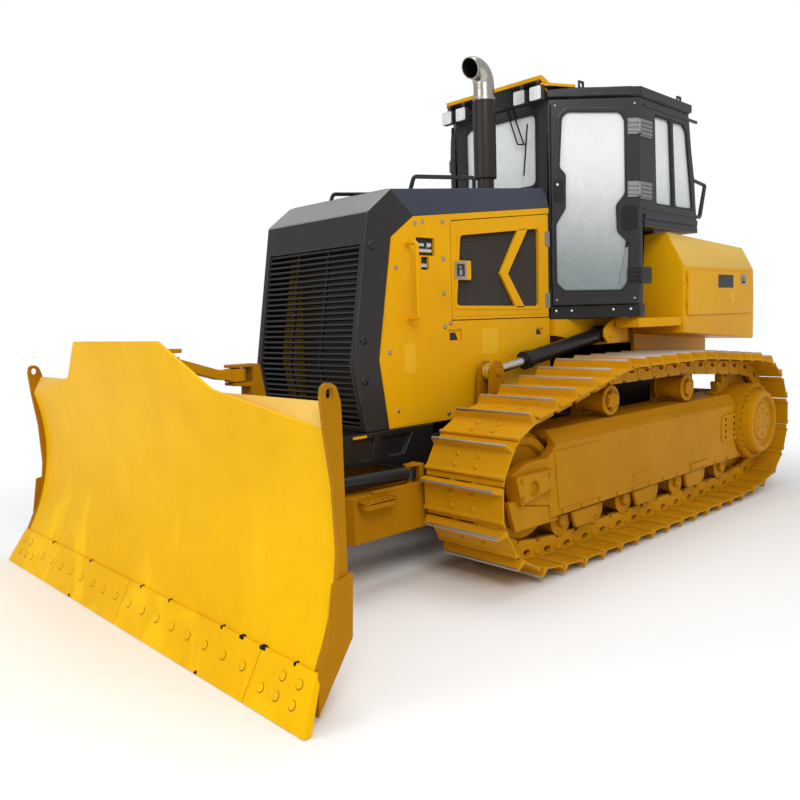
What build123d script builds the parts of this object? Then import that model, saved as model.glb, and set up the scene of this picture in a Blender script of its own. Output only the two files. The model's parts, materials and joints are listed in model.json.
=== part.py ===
from build123d import *
from math import acos, atan2, cos, hypot, pi, sin
import os

# Crawler bulldozer with a power-angle blade, millimetres.
# +X forward, +Y left, +Z up; origin on the ground, mid length, on the centre plane.

# ---------------------------------------------------------------- driving sizes
HALF_LENGTH = 2806.0            # blade edge in front, drawbar behind

# undercarriage
TRACK_Y = 1037.0                # centre plane of one track
SHOE_WIDTH = 584.0
SHOE_IN = TRACK_Y - SHOE_WIDTH / 2
SHOE_OUT = TRACK_Y + SHOE_WIDTH / 2
SHOE_BASE = 60.0                # pin line to the shoe's underside
SHOE_FACE = 72.0                # pin line to the shoe's outer face
GROUSER_TIP = 127.0             # pin line to the grouser's tip
RAIL = 58.0                     # pin line to the rail the rollers run on
LINK_PITCH = 203.2
IDLER = (795.0, 535.0, 373.0)   # x, z, pin-line radius
SPROCKET = (-2180.0, 605.0, 440.6)
SPROCKET_TEETH = 27
CARRIERS = ((-135.0, 962.0), (-1195.0, 960.0))          # x, z
CARRIER_R = 88.0
CARRIER_WRAP = 158.0            # pin line round a carrier roller
ROLLER_R = 92.0
ROLLER_Z = GROUSER_TIP + RAIL + ROLLER_R + 2.0
ROLLER_FIRST_X = 445.0
ROLLER_PITCH = 366.7
ROLLER_COUNT = 7
TRACK_FRAME = (330.0, 770.0, 850.0)                      # bottom, shoulder, top
TRACK_FRAME_Y = (870.0, 1140.0, 1215.0)                  # inside, top edge, outside
YOKE_FACE = 1255.0
YOKE_HOLE = (846.0, 551.0, 45.0)                         # x, z, radius
WHEEL_SIDES = 36
ROLLER_SIDES = 20
SHAFT_SIDES = 12

# main frame and nose
FRAME_HALF = 476.0
NOSE_HALF = 515.0
WINCH_PAD = (560.0, 220.0, 1040.0)                       # hole spacing y, z, mid height
WINCH_HOLE_R = 13.0

# hood
HOOD_HALF = 500.0
HOOD_TOP_HALF = 455.0
HOOD_REAR_X = -365.0
EXHAUST = (15.0, 235.0)         # x, y
EXHAUST_CAN_TOP = 3040.0
EXHAUST_PIPE_R = 73.0
EXHAUST_BEND_R = 100.0
EXHAUST_BEND_Z = 3150.0
DOOR_SEAM_X = 686.0
HATCH_LOW = 1521.0
HATCH_WINDOW = ((-237, 1600), (640, 1612), (593, 2058), (-237, 2148))        # x, z
CHEVRON = ((-46, 1590), (73, 1590), (197, 1824), (37, 2128), (-98, 2142), (70, 1824))
PANEL_WINDOWS = ((834, 996, 1920, 2028), (886, 955, 1833, 1916))           # x, x, z, z
PANEL_POCKETS = ((597, 727, 1376, 1458), (-281, -198, 1386, 1443))
GRAB_HANDLE = (1080.0, 600.0, 1520.0, 2000.0)            # x, reach, lowest, highest
GRILLE_HALF = 455.0
GRILLE_Z = (928.0, 1952.0)
SLAT_COUNT = 31
PANEL = 22.0

# cab
CAB_FRONT = (-440.0, 450.0)     # x, half width at the front pillars
CAB_B = (-925.0, 905.0)         # x, half width at the door hinges
CAB_REAR = (-1905.0, 880.0)
REAR_LEAN = ((-1722.0, 3090.0), (-1905.0, 2165.0))       # rear wall: x, z at its top and foot
CAB_SILL = (1500.0, 1595.0)
CAB_FLOOR = 1600.0
CAB_SHELF = 2165.0              # the rear half of the cab widens above this
CAB_EAVES = 3085.0
CAB_ROOF = 3155.0
WALL = 50.0
DOOR_HINGES = (1808.0, 2425.0, 2870.0)                   # heights of the cab door's hinges
DOOR_WINDOW = (                                          # along the door, height
    (38, 1760), (100, 1700), (531, 1693), (580, 1763), (589, 2045), (503, 2132), (495, 2313), (561, 2395),
    (556, 2917), (520, 2980), (126, 2992), (84, 2945), (64, 2590), (108, 2540), (106, 2305), (36, 2190))
WINDSCREEN = (350.0, 2480.0, 3015.0)                     # half width, low, high
SIDE_PANES = (((-1198, 2338), (-1165, 3000), (-1418, 3000), (-1474, 2338)),
              ((-1504, 2338), (-1448, 3000), (-1622, 3000), (-1690, 2953), (-1812, 2340)))
SIDE_GLASS = ((-1188, 2329), (-1155, 3009), (-1626, 3009), (-1699, 2958), (-1820, 2331))
REAR_LOOP_Y = 860.0
REAR_LOOP = ((-1815, 2592), (-2060, 2565), (-1975, 2300), (-1890, 2300))
ROOF_REAR = -1745.0
ROOF_EYES = ((-640.0, 600.0), (-1620.0, 850.0))          # x, y
VISOR_HALF = 460.0

# rear tank and fenders
FENDER_Y = 1000.0
FENDER_SLIM_Y = 870.0
FENDER_IN = 560.0
FENDER_X = (-1400.0, -1430.0, -2735.0)                   # front, folded front corner, rear

# blade and its frame
LIFT_PIVOT = (-805.0, 460.0)    # x, z
ARM_Y = (580.0, 720.0)
ARM_Z = (315.0, 575.0)
SWIVEL_X = 1995.0               # upright axis the blade angles about
TILT_Z = 450.0                  # lengthwise axis the blade tilts about
BLADE_EDGE = (2806.0, 3.0)
BLADE_SEAM = (2691.0, 187.0)
BLADE_MID = (2540.0, 640.0)
BLADE_TOP = (2587.0, 1118.0)
BLADE_CREST = (2715.0, 1467.0)
BLADE_HALF = 1600.0
BLADE_EDGE_HALF = 1665.0
BLADE_BEAM_HALF = 1500.0
BLADE_EAR = (2572.0, 1262.0)    # x, z
MOULDBOARD = 20.0

# cylinders: base eye, rod eye
LIFT_Y = 605.0
LIFT_BASE = (-885.0, 1380.0)    # x, z
LIFT_EYE = (435.0, 1172.0)
ANGLE_BASE = (1275.0, 670.0)    # x, y
ANGLE_EYE = (2295.0, 550.0)
ANGLE_Z = 640.0
TILT_X = 2320.0
TILT_BASE = (140.0, 900.0)      # y, z
TILT_EYE = (-600.0, 985.0)
LINK_EYE = (2400.0, 1335.0)     # x, z of the upper link's front eye
LINK_HEEL_Z = 1245.0

PARTS = {}


# ---------------------------------------------------------------- shapes
def block(x0, x1, y0, y1, z0, z1):
    return Pos((x0 + x1) / 2, (y0 + y1) / 2, (z0 + z1) / 2) * Box(
        abs(x1 - x0), abs(y1 - y0), abs(z1 - z0))


def prism(points, axis, start, end):
    """A closed outline, given in the two other axes in order, run along an axis."""
    places = {
        "x": lambda a, b: (start, a, b),
        "y": lambda a, b: (a, start, b),
        "z": lambda a, b: (a, b, start),
    }[axis]
    way = {"x": (1, 0, 0), "y": (0, 1, 0), "z": (0, 0, 1)}[axis]
    outline = make_face(Polyline(*[places(a, b) for a, b in points], close=True))
    return extrude(outline, amount=end - start, dir=way)


def rod(start, end, radius):
    start, end = Vector(*start), Vector(*end)
    run = end - start
    disc = Plane(origin=start, z_dir=run) * Circle(radius)
    return extrude(disc, amount=run.length)


def tube(start, end, outer, inner):
    return rod(start, end, outer) - rod(start, end, inner)


def wheel(x, z, radius, low, high, sides):
    """A many-sided disc or drum whose axis runs along Y."""
    turns = [2 * pi * index / sides for index in range(sides)]
    return prism([(x + radius * cos(a), z + radius * sin(a)) for a in turns], "y", low, high)


def grown(points, by):
    """A closed anticlockwise outline moved outwards by a distance."""
    moved = []
    for index, (x, y) in enumerate(points):
        (px, py), (nx, ny) = points[index - 1], points[(index + 1) % len(points)]
        first, second = hypot(x - px, y - py), hypot(nx - x, ny - y)
        ax, ay = (y - py) / first, (px - x) / first
        bx, by_ = (ny - y) / second, (x - nx) / second
        share = by / (1 + ax * bx + ay * by_)
        moved.append((x + (ax + bx) * share, y + (ay + by_) * share))
    return moved


def mirrored(shape):
    return mirror(shape, about=Plane.XZ)


def solids(shape):
    return list(shape.solids())


def keep(name, shape):
    found = solids(shape)
    PARTS[name] = found[0] if len(found) == 1 else Compound(children=found)


def keep_pair(name, left):
    keep(name + "_left", left)
    keep(name + "_right", mirrored(left))


# ---------------------------------------------------------------- tracks
def belt(wheels):
    """Straight runs and arcs of a belt round wheels (x, z, r), given anticlockwise."""
    runs = []
    count = len(wheels)
    for index in range(count):
        x0, z0, r0 = wheels[index]
        x1, z1, r1 = wheels[(index + 1) % count]
        span = hypot(x1 - x0, z1 - z0)
        side = atan2(z1 - z0, x1 - x0) - acos((r0 - r1) / span)
        out = (cos(side), sin(side))
        runs.append(((x0 + r0 * out[0], z0 + r0 * out[1]),
                     (x1 + r1 * out[0], z1 + r1 * out[1]), side))
    path = []
    for index in range(count):
        start, end, side = runs[index]
        after = runs[(index + 1) % count][2]
        path.append(("run", start, end, hypot(end[0] - start[0], end[1] - start[1])))
        x, z, r = wheels[(index + 1) % count]
        turn = (after - side) % (2 * pi)
        path.append(("arc", (x, z, r), (side, turn), r * turn))
    return path


def along(path, distance):
    for kind, first, second, length in path:
        if distance <= length:
            share = distance / length
            if kind == "run":
                return (first[0] + (second[0] - first[0]) * share,
                        first[1] + (second[1] - first[1]) * share)
            angle = second[0] + second[1] * share
            return (first[0] + first[2] * cos(angle), first[1] + first[2] * sin(angle))
        distance -= length
    return along(path, 0.0)


def chain_pins():
    roller_line = GROUSER_TIP + 150.0
    last_roller = ROLLER_FIRST_X - ROLLER_PITCH * (ROLLER_COUNT - 1)
    wheels = [IDLER]
    wheels += [(x, z, CARRIER_WRAP) for x, z in CARRIERS]
    wheels += [SPROCKET, (last_roller - 100, roller_line, 150.0),
               (ROLLER_FIRST_X + 100, roller_line, 150.0)]
    path = belt(wheels)
    total = sum(piece[3] for piece in path)
    count = round(total / LINK_PITCH)
    return [along(path, total * index / count) for index in range(count)]


def loop_outline(pins, steps):
    """An outline with the same (along, outwards) steps on every link."""
    points = []
    for index, pin in enumerate(pins):
        after = pins[(index + 1) % len(pins)]
        length = hypot(after[0] - pin[0], after[1] - pin[1])
        way = ((after[0] - pin[0]) / length, (after[1] - pin[1]) / length)
        out = (way[1], -way[0])
        middle = ((pin[0] + after[0]) / 2, (pin[1] + after[1]) / 2)
        for a, b in steps:
            points.append((middle[0] + way[0] * a + out[0] * b,
                           middle[1] + way[1] * a + out[1] * b))
    return points


def track():
    pins = chain_pins()
    shoe_steps = ((-96, SHOE_FACE), (54, SHOE_FACE), (72, GROUSER_TIP),
                  (82, GROUSER_TIP), (94, SHOE_BASE + 4))
    outer = loop_outline(pins, shoe_steps)
    inner = loop_outline(pins, ((0, SHOE_BASE),))
    belt_of_shoes = prism(outer, "y", SHOE_IN, SHOE_OUT) - prism(inner, "y", SHOE_IN, SHOE_OUT)
    rail_out = loop_outline(pins, ((0, SHOE_BASE + 3),))
    rail_in = loop_outline(pins, ((-78, -RAIL), (78, -RAIL)))
    for low in (TRACK_Y - 100, TRACK_Y + 60):
        rail = prism(rail_out, "y", low, low + 40) - prism(rail_in, "y", low, low + 40)
        belt_of_shoes = belt_of_shoes + rail
    return belt_of_shoes


def track_frame():
    bottom, shoulder, top = TRACK_FRAME
    inside, edge, outside = TRACK_FRAME_Y
    section = ((inside, bottom), (outside, bottom), (outside, shoulder), (edge, top), (inside, top))
    beam = prism(section, "x", -2010, 655)
    beam = beam - prism(((583, 760), (583, top + 1), (660, top + 1), (660, 690)), "y", inside - 1, outside + 1)
    beam = beam - block(-2020, 660, 922, 1148, bottom - 1, 394)
    sx, sz, _ = SPROCKET
    for low, high, radius in ((860, 985, 290), (985, 1085, 468), (1084, 1220, 332)):
        beam = beam - wheel(sx, sz, radius, low, high, WHEEL_SIDES)
    ix, iz, ir = IDLER
    beam = beam - wheel(ix, iz, ir - RAIL + 25, 926, 1149, WHEEL_SIDES)
    fork = ((600, 400), (963, 469), (1011, 643), (866, 699), (667, 700), (600, 740))
    for low, high in ((inside, 925), (1150, outside)):       # fork arms beside the idler
        beam = beam + prism(fork, "y", low, high)
    guard = prism(((597, 415), (565, 307), (975, 312), (1037, 497), (700, 470)), "y", 1180, outside - 1)
    beam = beam + guard + mirror(guard, about=Plane((0, TRACK_Y, 0), z_dir=(0, 1, 0)))
    for index in (1, 3, 5):
        x = ROLLER_FIRST_X - ROLLER_PITCH * (index - 0.5)
        for low in (1176, 872):
            beam = beam + prism(((x - 150, 335), (x + 150, 335), (x + 95, 215), (x - 95, 215)),
                                "y", low, low + 26)
    for x, z in CARRIERS:                                    # carrier roller posts
        beam = beam + prism(((x - 120, top - 5), (x + 60, top - 5), (x + 45, z + 25), (x - 45, z + 25)),
                            "y", inside, 920)
    yoke = prism(((653, 530), (963, 469), (1011, 643), (667, 641)), "y", outside - 1, YOKE_FACE)
    x, z, radius = YOKE_HOLE
    return beam + yoke - wheel(x, z, radius, outside + 15, YOKE_FACE + 5, ROLLER_SIDES)


def track_rollers():
    found = []
    for index in range(ROLLER_COUNT):
        x = ROLLER_FIRST_X - ROLLER_PITCH * index
        body = wheel(x, ROLLER_Z, ROLLER_R, TRACK_Y - 101, TRACK_Y + 101, ROLLER_SIDES)
        for side in (-1, 1):
            y = TRACK_Y + side * 106
            body = body + wheel(x, ROLLER_Z, ROLLER_R + 14, y - 5, y + 5, ROLLER_SIDES)
        body = body + wheel(x, ROLLER_Z, 42, TRACK_Y - 136, TRACK_Y + 136, SHAFT_SIDES)
        for side in (-1, 1):
            y = TRACK_Y + side * 124
            body = body + block(x - 45, x + 45, y - 12, y + 12, ROLLER_Z - 30, TRACK_FRAME[0])
        found.append(body)
    return Compound(children=[s for body in found for s in solids(body)])


def carrier_rollers():
    found = []
    for x, z in CARRIERS:
        body = wheel(x, z, CARRIER_R, TRACK_Y - 101, TRACK_Y + 101, ROLLER_SIDES)
        for y in (TRACK_Y - 107, TRACK_Y + 107):
            body = body + wheel(x, z, CARRIER_R + 14, y - 6, y + 6, ROLLER_SIDES)
        body = body + wheel(x, z, 78, TRACK_Y + 112, TRACK_Y + 132, ROLLER_SIDES)
        body = body + wheel(x, z, 36, 920, TRACK_Y, SHAFT_SIDES)
        found.append(body)
    return Compound(children=[s for body in found for s in solids(body)])


def idler():
    x, z, pin_r = IDLER
    tread = (pin_r ** 2 - (LINK_PITCH / 2) ** 2) ** 0.5 - RAIL
    disc = wheel(x, z, tread, TRACK_Y - 95, TRACK_Y + 95, WHEEL_SIDES)
    disc = disc + wheel(x, z, tread + 30, TRACK_Y - 52, TRACK_Y + 52, WHEEL_SIDES)
    for side in (-1, 1):
        y = TRACK_Y + side * 95
        low, high = sorted((y - side * 30, y + side))
        dish = wheel(x, z, tread - 50, low, high, WHEEL_SIDES) - wheel(x, z, 110, low, high, ROLLER_SIDES)
        disc = disc - dish
    return disc + wheel(x, z, 70, 926, 1149, ROLLER_SIDES)


def final_drive():
    x, z, pin_r = SPROCKET
    teeth = []
    for index in range(SPROCKET_TEETH):
        start = 2 * pi * index / SPROCKET_TEETH
        for share, radius in ((0.0, pin_r - 38), (0.28, pin_r - 38), (0.5, pin_r + 10), (0.72, pin_r + 10)):
            angle = start + 2 * pi * share / SPROCKET_TEETH
            teeth.append((x + radius * cos(angle), z + radius * sin(angle)))
    ring = prism(teeth, "y", TRACK_Y - 30, TRACK_Y + 30) - wheel(x, z, 300, 900, 1200, WHEEL_SIDES)
    drum = wheel(x, z, 250, 560, 1010, WHEEL_SIDES)
    drum = drum + wheel(x, z, 312, 1000, 1265, WHEEL_SIDES)
    drum = drum + wheel(x, z, 268, 1260, 1330, WHEEL_SIDES)
    drum = drum - wheel(x, z, 200, 1300, 1340, WHEEL_SIDES)
    drum = drum + wheel(x, z, 150, 1290, 1315, WHEEL_SIDES)
    return drum + ring


# ---------------------------------------------------------------- chassis
def main_frame():
    hull = prism(((-2650, 520), (-2500, 400), (-300, 400), (700, 480), (900, 560), (900, 800),
                  (-400, 850), (-1700, 1290), (-2650, 1290)), "y", -FRAME_HALF, FRAME_HALF)
    hull = hull - block(-180, 862, -430, 430, 600, 1400)
    x, z = LIFT_PIVOT
    hull = hull + rod((x, -728, z), (x, 728, z), 70)
    inside = TRACK_FRAME_Y[0]
    hull = hull + rod((-1450, -inside, 640), (-1450, inside, 640), 75)
    hull = hull + block(-300, -190, -inside, inside, 765, 838)
    for side in (-1, 1):
        hull = hull + rod((SPROCKET[0], side * 400, SPROCKET[1]), (SPROCKET[0], side * 560, SPROCKET[1]), 290)
    for y in (-WINCH_PAD[0] / 2, WINCH_PAD[0] / 2):
        for z in (WINCH_PAD[2] - WINCH_PAD[1] / 2, WINCH_PAD[2] + WINCH_PAD[1] / 2):
            hull = hull - rod((-2651, y, z), (-2590, y, z), WINCH_HOLE_R)
    return hull


def wheel_x(z, radius, start, end):
    """A plain shaft on the centre plane, along X."""
    turns = [2 * pi * index / SHAFT_SIDES for index in range(SHAFT_SIDES)]
    return prism([(radius * cos(a), z + radius * sin(a)) for a in turns], "x", start, end)


def engine_block():
    engine = block(-170, 850, -300, 300, 600, 1900)
    core = block(1100, 1160, -GRILLE_HALF, GRILLE_HALF, 900, 2000)
    return engine + core + wheel_x(1400, 60, 849, 1101)


def nose_guard():
    outline = ((1660, 690), (1660, 850), (1630, 880), (900, 880), (900, 690))
    guard = prism(outline, "y", -NOSE_HALF, NOSE_HALF)
    for side in (-1, 1):
        low, high = sorted((side * (NOSE_HALF - 22), side * (NOSE_HALF + 1)))
        for x0, x1, x2, x3 in ((1570, 1390, 1440, 1520), (1340, 1090, 1160, 1280)):
            guard = guard - prism(((x0, 845), (x1, 845), (x2, 725), (x3, 725)), "y", low, high)
    return guard


# ---------------------------------------------------------------- hood
MASK_FRONT = ((1445, 880), (1520, 1272), (1379, 2159), (1193, 2303))     # x, z
MASK_REAR = ((1010, 2153), (1198, 2020), (1321, 1300), (1257, 881))


def hood_top_z(x):
    return 2303 + (1193 - x) * 0.0947


def hood_band_z(x):
    return 2153 + (1010 - x) * 0.1096


def radiator_mask():
    outline = MASK_FRONT + MASK_REAR
    shell = prism(outline, "y", -HOOD_HALF, HOOD_HALF)
    inner = ((1415, 860), (1488, 1272), (1350, 2130), (1190, 2270), (1000, 2120), (1165, 2000),
             (1290, 1300), (1230, 860))
    shell = shell - prism(inner, "y", -HOOD_HALF + 18, HOOD_HALF - 18)
    shell = shell - block(900, 1330, -HOOD_HALF + 18, HOOD_HALF - 18, 860, 2100)
    opening = ((1300, 915), (1600, 915), (1600, 1970), (1300, 1970))
    shell = shell - prism(opening, "y", -GRILLE_HALF, GRILLE_HALF)
    return shell - radiator_grille()


def mask_front_x(z):
    (x0, z0), (x1, z1), (x2, z2), _ = MASK_FRONT
    if z < z1:
        return x0 + (x1 - x0) * (z - z0) / (z1 - z0)
    return x1 + (x2 - x1) * (z - z1) / (z2 - z1)


def radiator_grille():
    low, high = GRILLE_Z
    slats = []
    for index in range(SLAT_COUNT):
        z = low + (high - low) * index / (SLAT_COUNT - 1)
        x = mask_front_x(z) - 8
        slats.append(prism(((x, z), (x - 4, z + 12), (x - 34, z + 4), (x - 30, z - 8)),
                           "y", -GRILLE_HALF, GRILLE_HALF))
    bars = []
    for y in (-GRILLE_HALF, -150, 150, GRILLE_HALF - 6):
        line = [(mask_front_x(z) - 14, z) for z in (916, 1272, 1969)]
        back = [(x - 22, z) for x, z in reversed(line)]
        bars.append(prism(tuple(line + back), "y", y, y + 6))
    return Part() + slats + bars


def hood_section(x, drop, tuck):
    """One section of the hood, let down and drawn in for its inside."""
    front = x > DOOR_SEAM_X
    low = hood_band_z(x) if not front else hood_band_z(1010)
    high_x = 1193 if front else x
    top_half = 470 if front else HOOD_TOP_HALF
    high = hood_top_z(high_x)
    return make_face(Polyline((x, -HOOD_HALF + tuck, low - drop), (high_x, -top_half + tuck, high - drop),
                              (high_x, top_half - tuck, high - drop), (x, HOOD_HALF - tuck, low - drop),
                              close=True))


def hood():
    cover = loft([hood_section(1010, 0, 0), hood_section(HOOD_REAR_X, 0, 0)])
    hollow = loft([hood_section(1010.001, 26, 18), hood_section(HOOD_REAR_X - 1, 26, 18)])
    return cover - hollow - exhaust_stack() - hood_rails()


def side_panel():
    inner = HOOD_HALF - PANEL
    front = prism(((DOOR_SEAM_X, hood_band_z(DOOR_SEAM_X) - 1),) + MASK_REAR
                  + ((1250, 881), (DOOR_SEAM_X, 881)), "y", inner, HOOD_HALF)
    lower = prism(((DOOR_SEAM_X, 881), (DOOR_SEAM_X, 1515), (HOOD_REAR_X, 1515), (HOOD_REAR_X, 1120),
                   (200, 881)), "y", inner, HOOD_HALF)
    strip = prism(((DOOR_SEAM_X, hood_band_z(DOOR_SEAM_X) - 1), (DOOR_SEAM_X, hood_band_z(DOOR_SEAM_X) - 40),
                   (HOOD_REAR_X, hood_band_z(HOOD_REAR_X) - 40), (HOOD_REAR_X, hood_band_z(HOOD_REAR_X) - 1)),
                  "y", inner, HOOD_HALF)
    panel = front + lower + strip
    for x0, x1, z0, z1 in PANEL_WINDOWS:
        panel = panel - block(x0, x1, inner - 1, HOOD_HALF + 1, z0, z1)
    for x0, x1, z0, z1 in PANEL_POCKETS:
        panel = panel - block(x0, x1, HOOD_HALF - 12, HOOD_HALF + 1, z0, z1)
    x, reach, low, high = GRAB_HANDLE
    for z in (low + 10, high - 10):
        panel = panel + rod((x, HOOD_HALF - 5, z), (x, reach, z), 13)
    return panel + rod((x, reach - 8, low), (x, reach - 8, high), 13)


def engine_door():
    x0, x1 = HOOD_REAR_X + 8, DOOR_SEAM_X - 6
    inner = HOOD_HALF - PANEL
    outline = ((x0, HATCH_LOW), (x1, HATCH_LOW), (x1, hood_band_z(x1) - 46), (x0, hood_band_z(x0) - 46))
    leaf = prism(outline, "y", inner, HOOD_HALF)
    leaf = leaf - prism(HATCH_WINDOW, "y", inner - 1, HOOD_HALF + 1)
    leaf = leaf + prism(CHEVRON, "y", inner, HOOD_HALF)
    leaf = leaf + block(496, x1 - 5, inner, HOOD_HALF, 1776, 1900)          # latch box
    return leaf + knuckles(x0, HOOD_HALF + 4, (1640, 2080), 7)


def knuckles(x, y, heights, radius=9.0, length=60.0):
    """Hinge barrels on an upright axis."""
    return Part() + [rod((x, y, z - length / 2), (x, y, z + length / 2), radius) for z in heights]


def engine_mesh():
    return prism(grown(HATCH_WINDOW, 15), "y", HOOD_HALF - PANEL - 8, HOOD_HALF - PANEL)


def exhaust_stack():
    x, y = EXHAUST
    base = hood_top_z(x) - 20
    pipe = rod((x, y, base), (x, y, base + 60), 55) + rod((x, y, base + 40), (x, y, EXHAUST_CAN_TOP), 80)
    pipe = pipe + rod((x, y, EXHAUST_CAN_TOP - 20), (x, y, EXHAUST_BEND_Z), EXHAUST_PIPE_R)
    middle = (x + EXHAUST_BEND_R, y, EXHAUST_BEND_Z)
    path = Plane(middle, x_dir=(-1, 0, 0), z_dir=(0, -1, 0)) * CenterArc((0, 0), EXHAUST_BEND_R, 0, -115)
    elbow = sweep(Plane(path @ 0, z_dir=path % 0) * Circle(EXHAUST_PIPE_R), path)
    mouth = rod(path @ 1 - (path % 1) * 60, path @ 1 + (path % 1) * 6, EXHAUST_PIPE_R - 7)
    return pipe + elbow - mouth


def hood_rails():
    rails = []
    for side in (-1, 1):
        y = side * 400
        x0, x1 = 935, 330
        z0, z1 = hood_top_z(x0) - 10, hood_top_z(x1) - 10
        top = hood_top_z(x0) + 85
        rails.append(rod((x0, y, z0), (x0 - 40, y, top), 14) + rod((x0 - 40, y, top - 8), (x1, y, top + 45), 14)
                     + rod((x1, y, z1), (x1, y, top + 50), 14))
    return Compound(children=[s for rail in rails for s in solids(rail)])


# ---------------------------------------------------------------- cab
def cab_plan(offset):
    """Half outline of the cab (x, y) drawn in by an offset, front to rear."""
    (fx, fy), (bx, by), (rx, ry) = CAB_FRONT, CAB_B, CAB_REAR
    return ((fx - offset, fy - offset * 0.6), (bx, by - offset * 1.1), (rx + offset, ry - offset))


def cab_ring(offset, low, high, rear=None):
    half = cab_plan(offset)
    points = half + tuple((x, -y) for x, y in reversed(half))
    ring = prism(points, "z", low, high)
    return ring - block(rear - 500, rear, -1000, 1000, low - 1, high + 1) if rear else ring


def lean_x(z):
    """Outer face of the leaning rear wall at a height."""
    (top_x, top_z), (low_x, low_z) = REAR_LEAN
    return low_x + (top_x - low_x) * (z - low_z) / (top_z - low_z)


def leaning(shape, offset, low, high):
    """A shape cut back to the leaning rear wall, drawn in by an offset."""
    behind = ((lean_x(low) + offset, low - 1), (lean_x(high) + offset, high + 1), (-2400, high + 1),
              (-2400, low - 1))
    return shape - prism(behind, "y", -1000, 1000)


def cab_frame():
    top, ceiling = CAB_EAVES, CAB_EAVES - 60
    shell = leaning(cab_ring(0, CAB_SHELF, top), 0, CAB_SHELF, top)
    shell = shell - leaning(cab_ring(WALL, CAB_SHELF + 40, ceiling), WALL, CAB_SHELF + 40, ceiling)
    (fx, fy), (bx, by) = CAB_FRONT, CAB_B
    lower = prism(((fx, fy), (bx, by), (bx - 60, by), (bx - 60, 540), (-1805, 540), (-1805, -540),
                   (bx - 60, -540), (bx - 60, -by), (bx, -by), (fx, -fy)), "z", CAB_SILL[1], CAB_SHELF + 45)
    inside = prism(((fx - WALL, fy - 30), (bx - 10, by - 55), (bx - 20, 490), (-1755, 490), (-1755, -490),
                    (bx - 20, -490), (bx - 10, -by + 55), (fx - WALL, -fy + 30)),
                   "z", CAB_FLOOR + 20, CAB_SHELF + 60)
    cowl = prism(((-446, CAB_FLOOR), (446, CAB_FLOOR), (446, 2295), (415, 2425), (-415, 2425), (-446, 2295)),
                 "x", fx - 5, HOOD_REAR_X - 5)
    shell = shell + lower - inside + cowl
    # windscreen, rear side windows, rear window
    shell = shell - block(fx - WALL - 20, fx + 20, -WINDSCREEN[0], WINDSCREEN[0], WINDSCREEN[1], WINDSCREEN[2])
    for pane in SIDE_PANES:
        shell = shell - prism(pane, "y", 800, 930) - prism(pane, "y", -930, -800)
    shell = shell - block(-1990, -1655, -780, 780, 2300, 2980)
    # door openings
    length = door_axes()[3]
    gap = door_slab(45, length - 45, -120, 90, CAB_FLOOR + 20, ceiling)
    shell = shell - gap - mirrored(gap)
    for y in (-REAR_LOOP_Y, REAR_LOOP_Y):
        for start, end in zip(REAR_LOOP, REAR_LOOP[1:]):
            shell = shell + rod((start[0], y, start[1]), (end[0], y, end[1]), 14)
    return shell - cab_glass()


def door_axes():
    (fx, fy), (bx, by) = CAB_FRONT, CAB_B
    run = Vector(bx - fx, by - fy, 0)
    unit = run.normalized()
    out = Vector(unit.Y, -unit.X, 0)
    if out.Y < 0:
        out = out * -1
    return Vector(fx, fy, 0), unit, out, run.length


def door_slab(along_from, along_to, out_from, out_to, low, high):
    start, unit, out, _ = door_axes()
    corners = [start + unit * a + out * b for a, b in
               ((along_from, out_from), (along_to, out_from), (along_to, out_to), (along_from, out_to))]
    return prism([(c.X, c.Y) for c in corners], "z", low, high)


def door_panel(points, out_from, out_to):
    """A closed outline (along the door, height) given a thickness across it."""
    start, unit, out, _ = door_axes()
    corners = [start + unit * a + out * out_from + Vector(0, 0, z) for a, z in points]
    return extrude(make_face(Polyline(*corners, close=True)), amount=out_to - out_from, dir=out)


def cab_door():
    length = door_axes()[3]
    leaf = door_slab(16, length - 12, 8, 38, CAB_FLOOR + 5, CAB_EAVES - 15)
    leaf = leaf - door_panel(DOOR_WINDOW, 0, 60) - cab_door_glass()
    for z in DOOR_HINGES:
        leaf = leaf + door_slab(length - 70, length - 14, 37, 44, z - 50, z + 50)
    start, unit, out, _ = door_axes()
    pin = start + unit * (length - 12) + out * 42
    return leaf + knuckles(pin.X, pin.Y, DOOR_HINGES, 11, 90)


def cab_door_glass():
    return door_panel(grown(DOOR_WINDOW, 9), 14, 20)


def cab_roof():
    roof = cab_ring(0, CAB_EAVES + 1, CAB_EAVES + 12, ROOF_REAR + 15)
    roof = roof + cab_ring(-15, CAB_EAVES + 9, CAB_ROOF + 2, ROOF_REAR)
    roof = roof + cab_ring(60, CAB_ROOF, CAB_ROOF + 22, ROOF_REAR + 70)
    for x, y in ROOF_EYES:
        for side in (-1, 1):
            eye = block(x - 35, x + 35, side * y - 8, side * y + 8, CAB_ROOF - 2, CAB_ROOF + 60)
            hole = rod((x, side * y - 12, CAB_ROOF + 28), (x, side * y + 12, CAB_ROOF + 28), 16)
            roof = roof + (eye - hole)
    return roof


def visor():
    front = CAB_FRONT[0] + 15.5
    over = CAB_ROOF + 3
    section = ((front, 3118), (front, over), (-495, over), (-495, 3186), (-362, 3240), (-342, 3235),
               (-347, 3203))
    shade = prism(section, "y", -VISOR_HALF, VISOR_HALF)
    wing = ((-496, 432), (-347, VISOR_HALF - 8), (-402, 502), (-590, 590), (-590, 522))
    shade = shade + prism(wing, "z", over, 3184)
    shade = shade + prism([(x, -y) for x, y in wing], "z", over, 3184)
    return shade - lamps()


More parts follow.
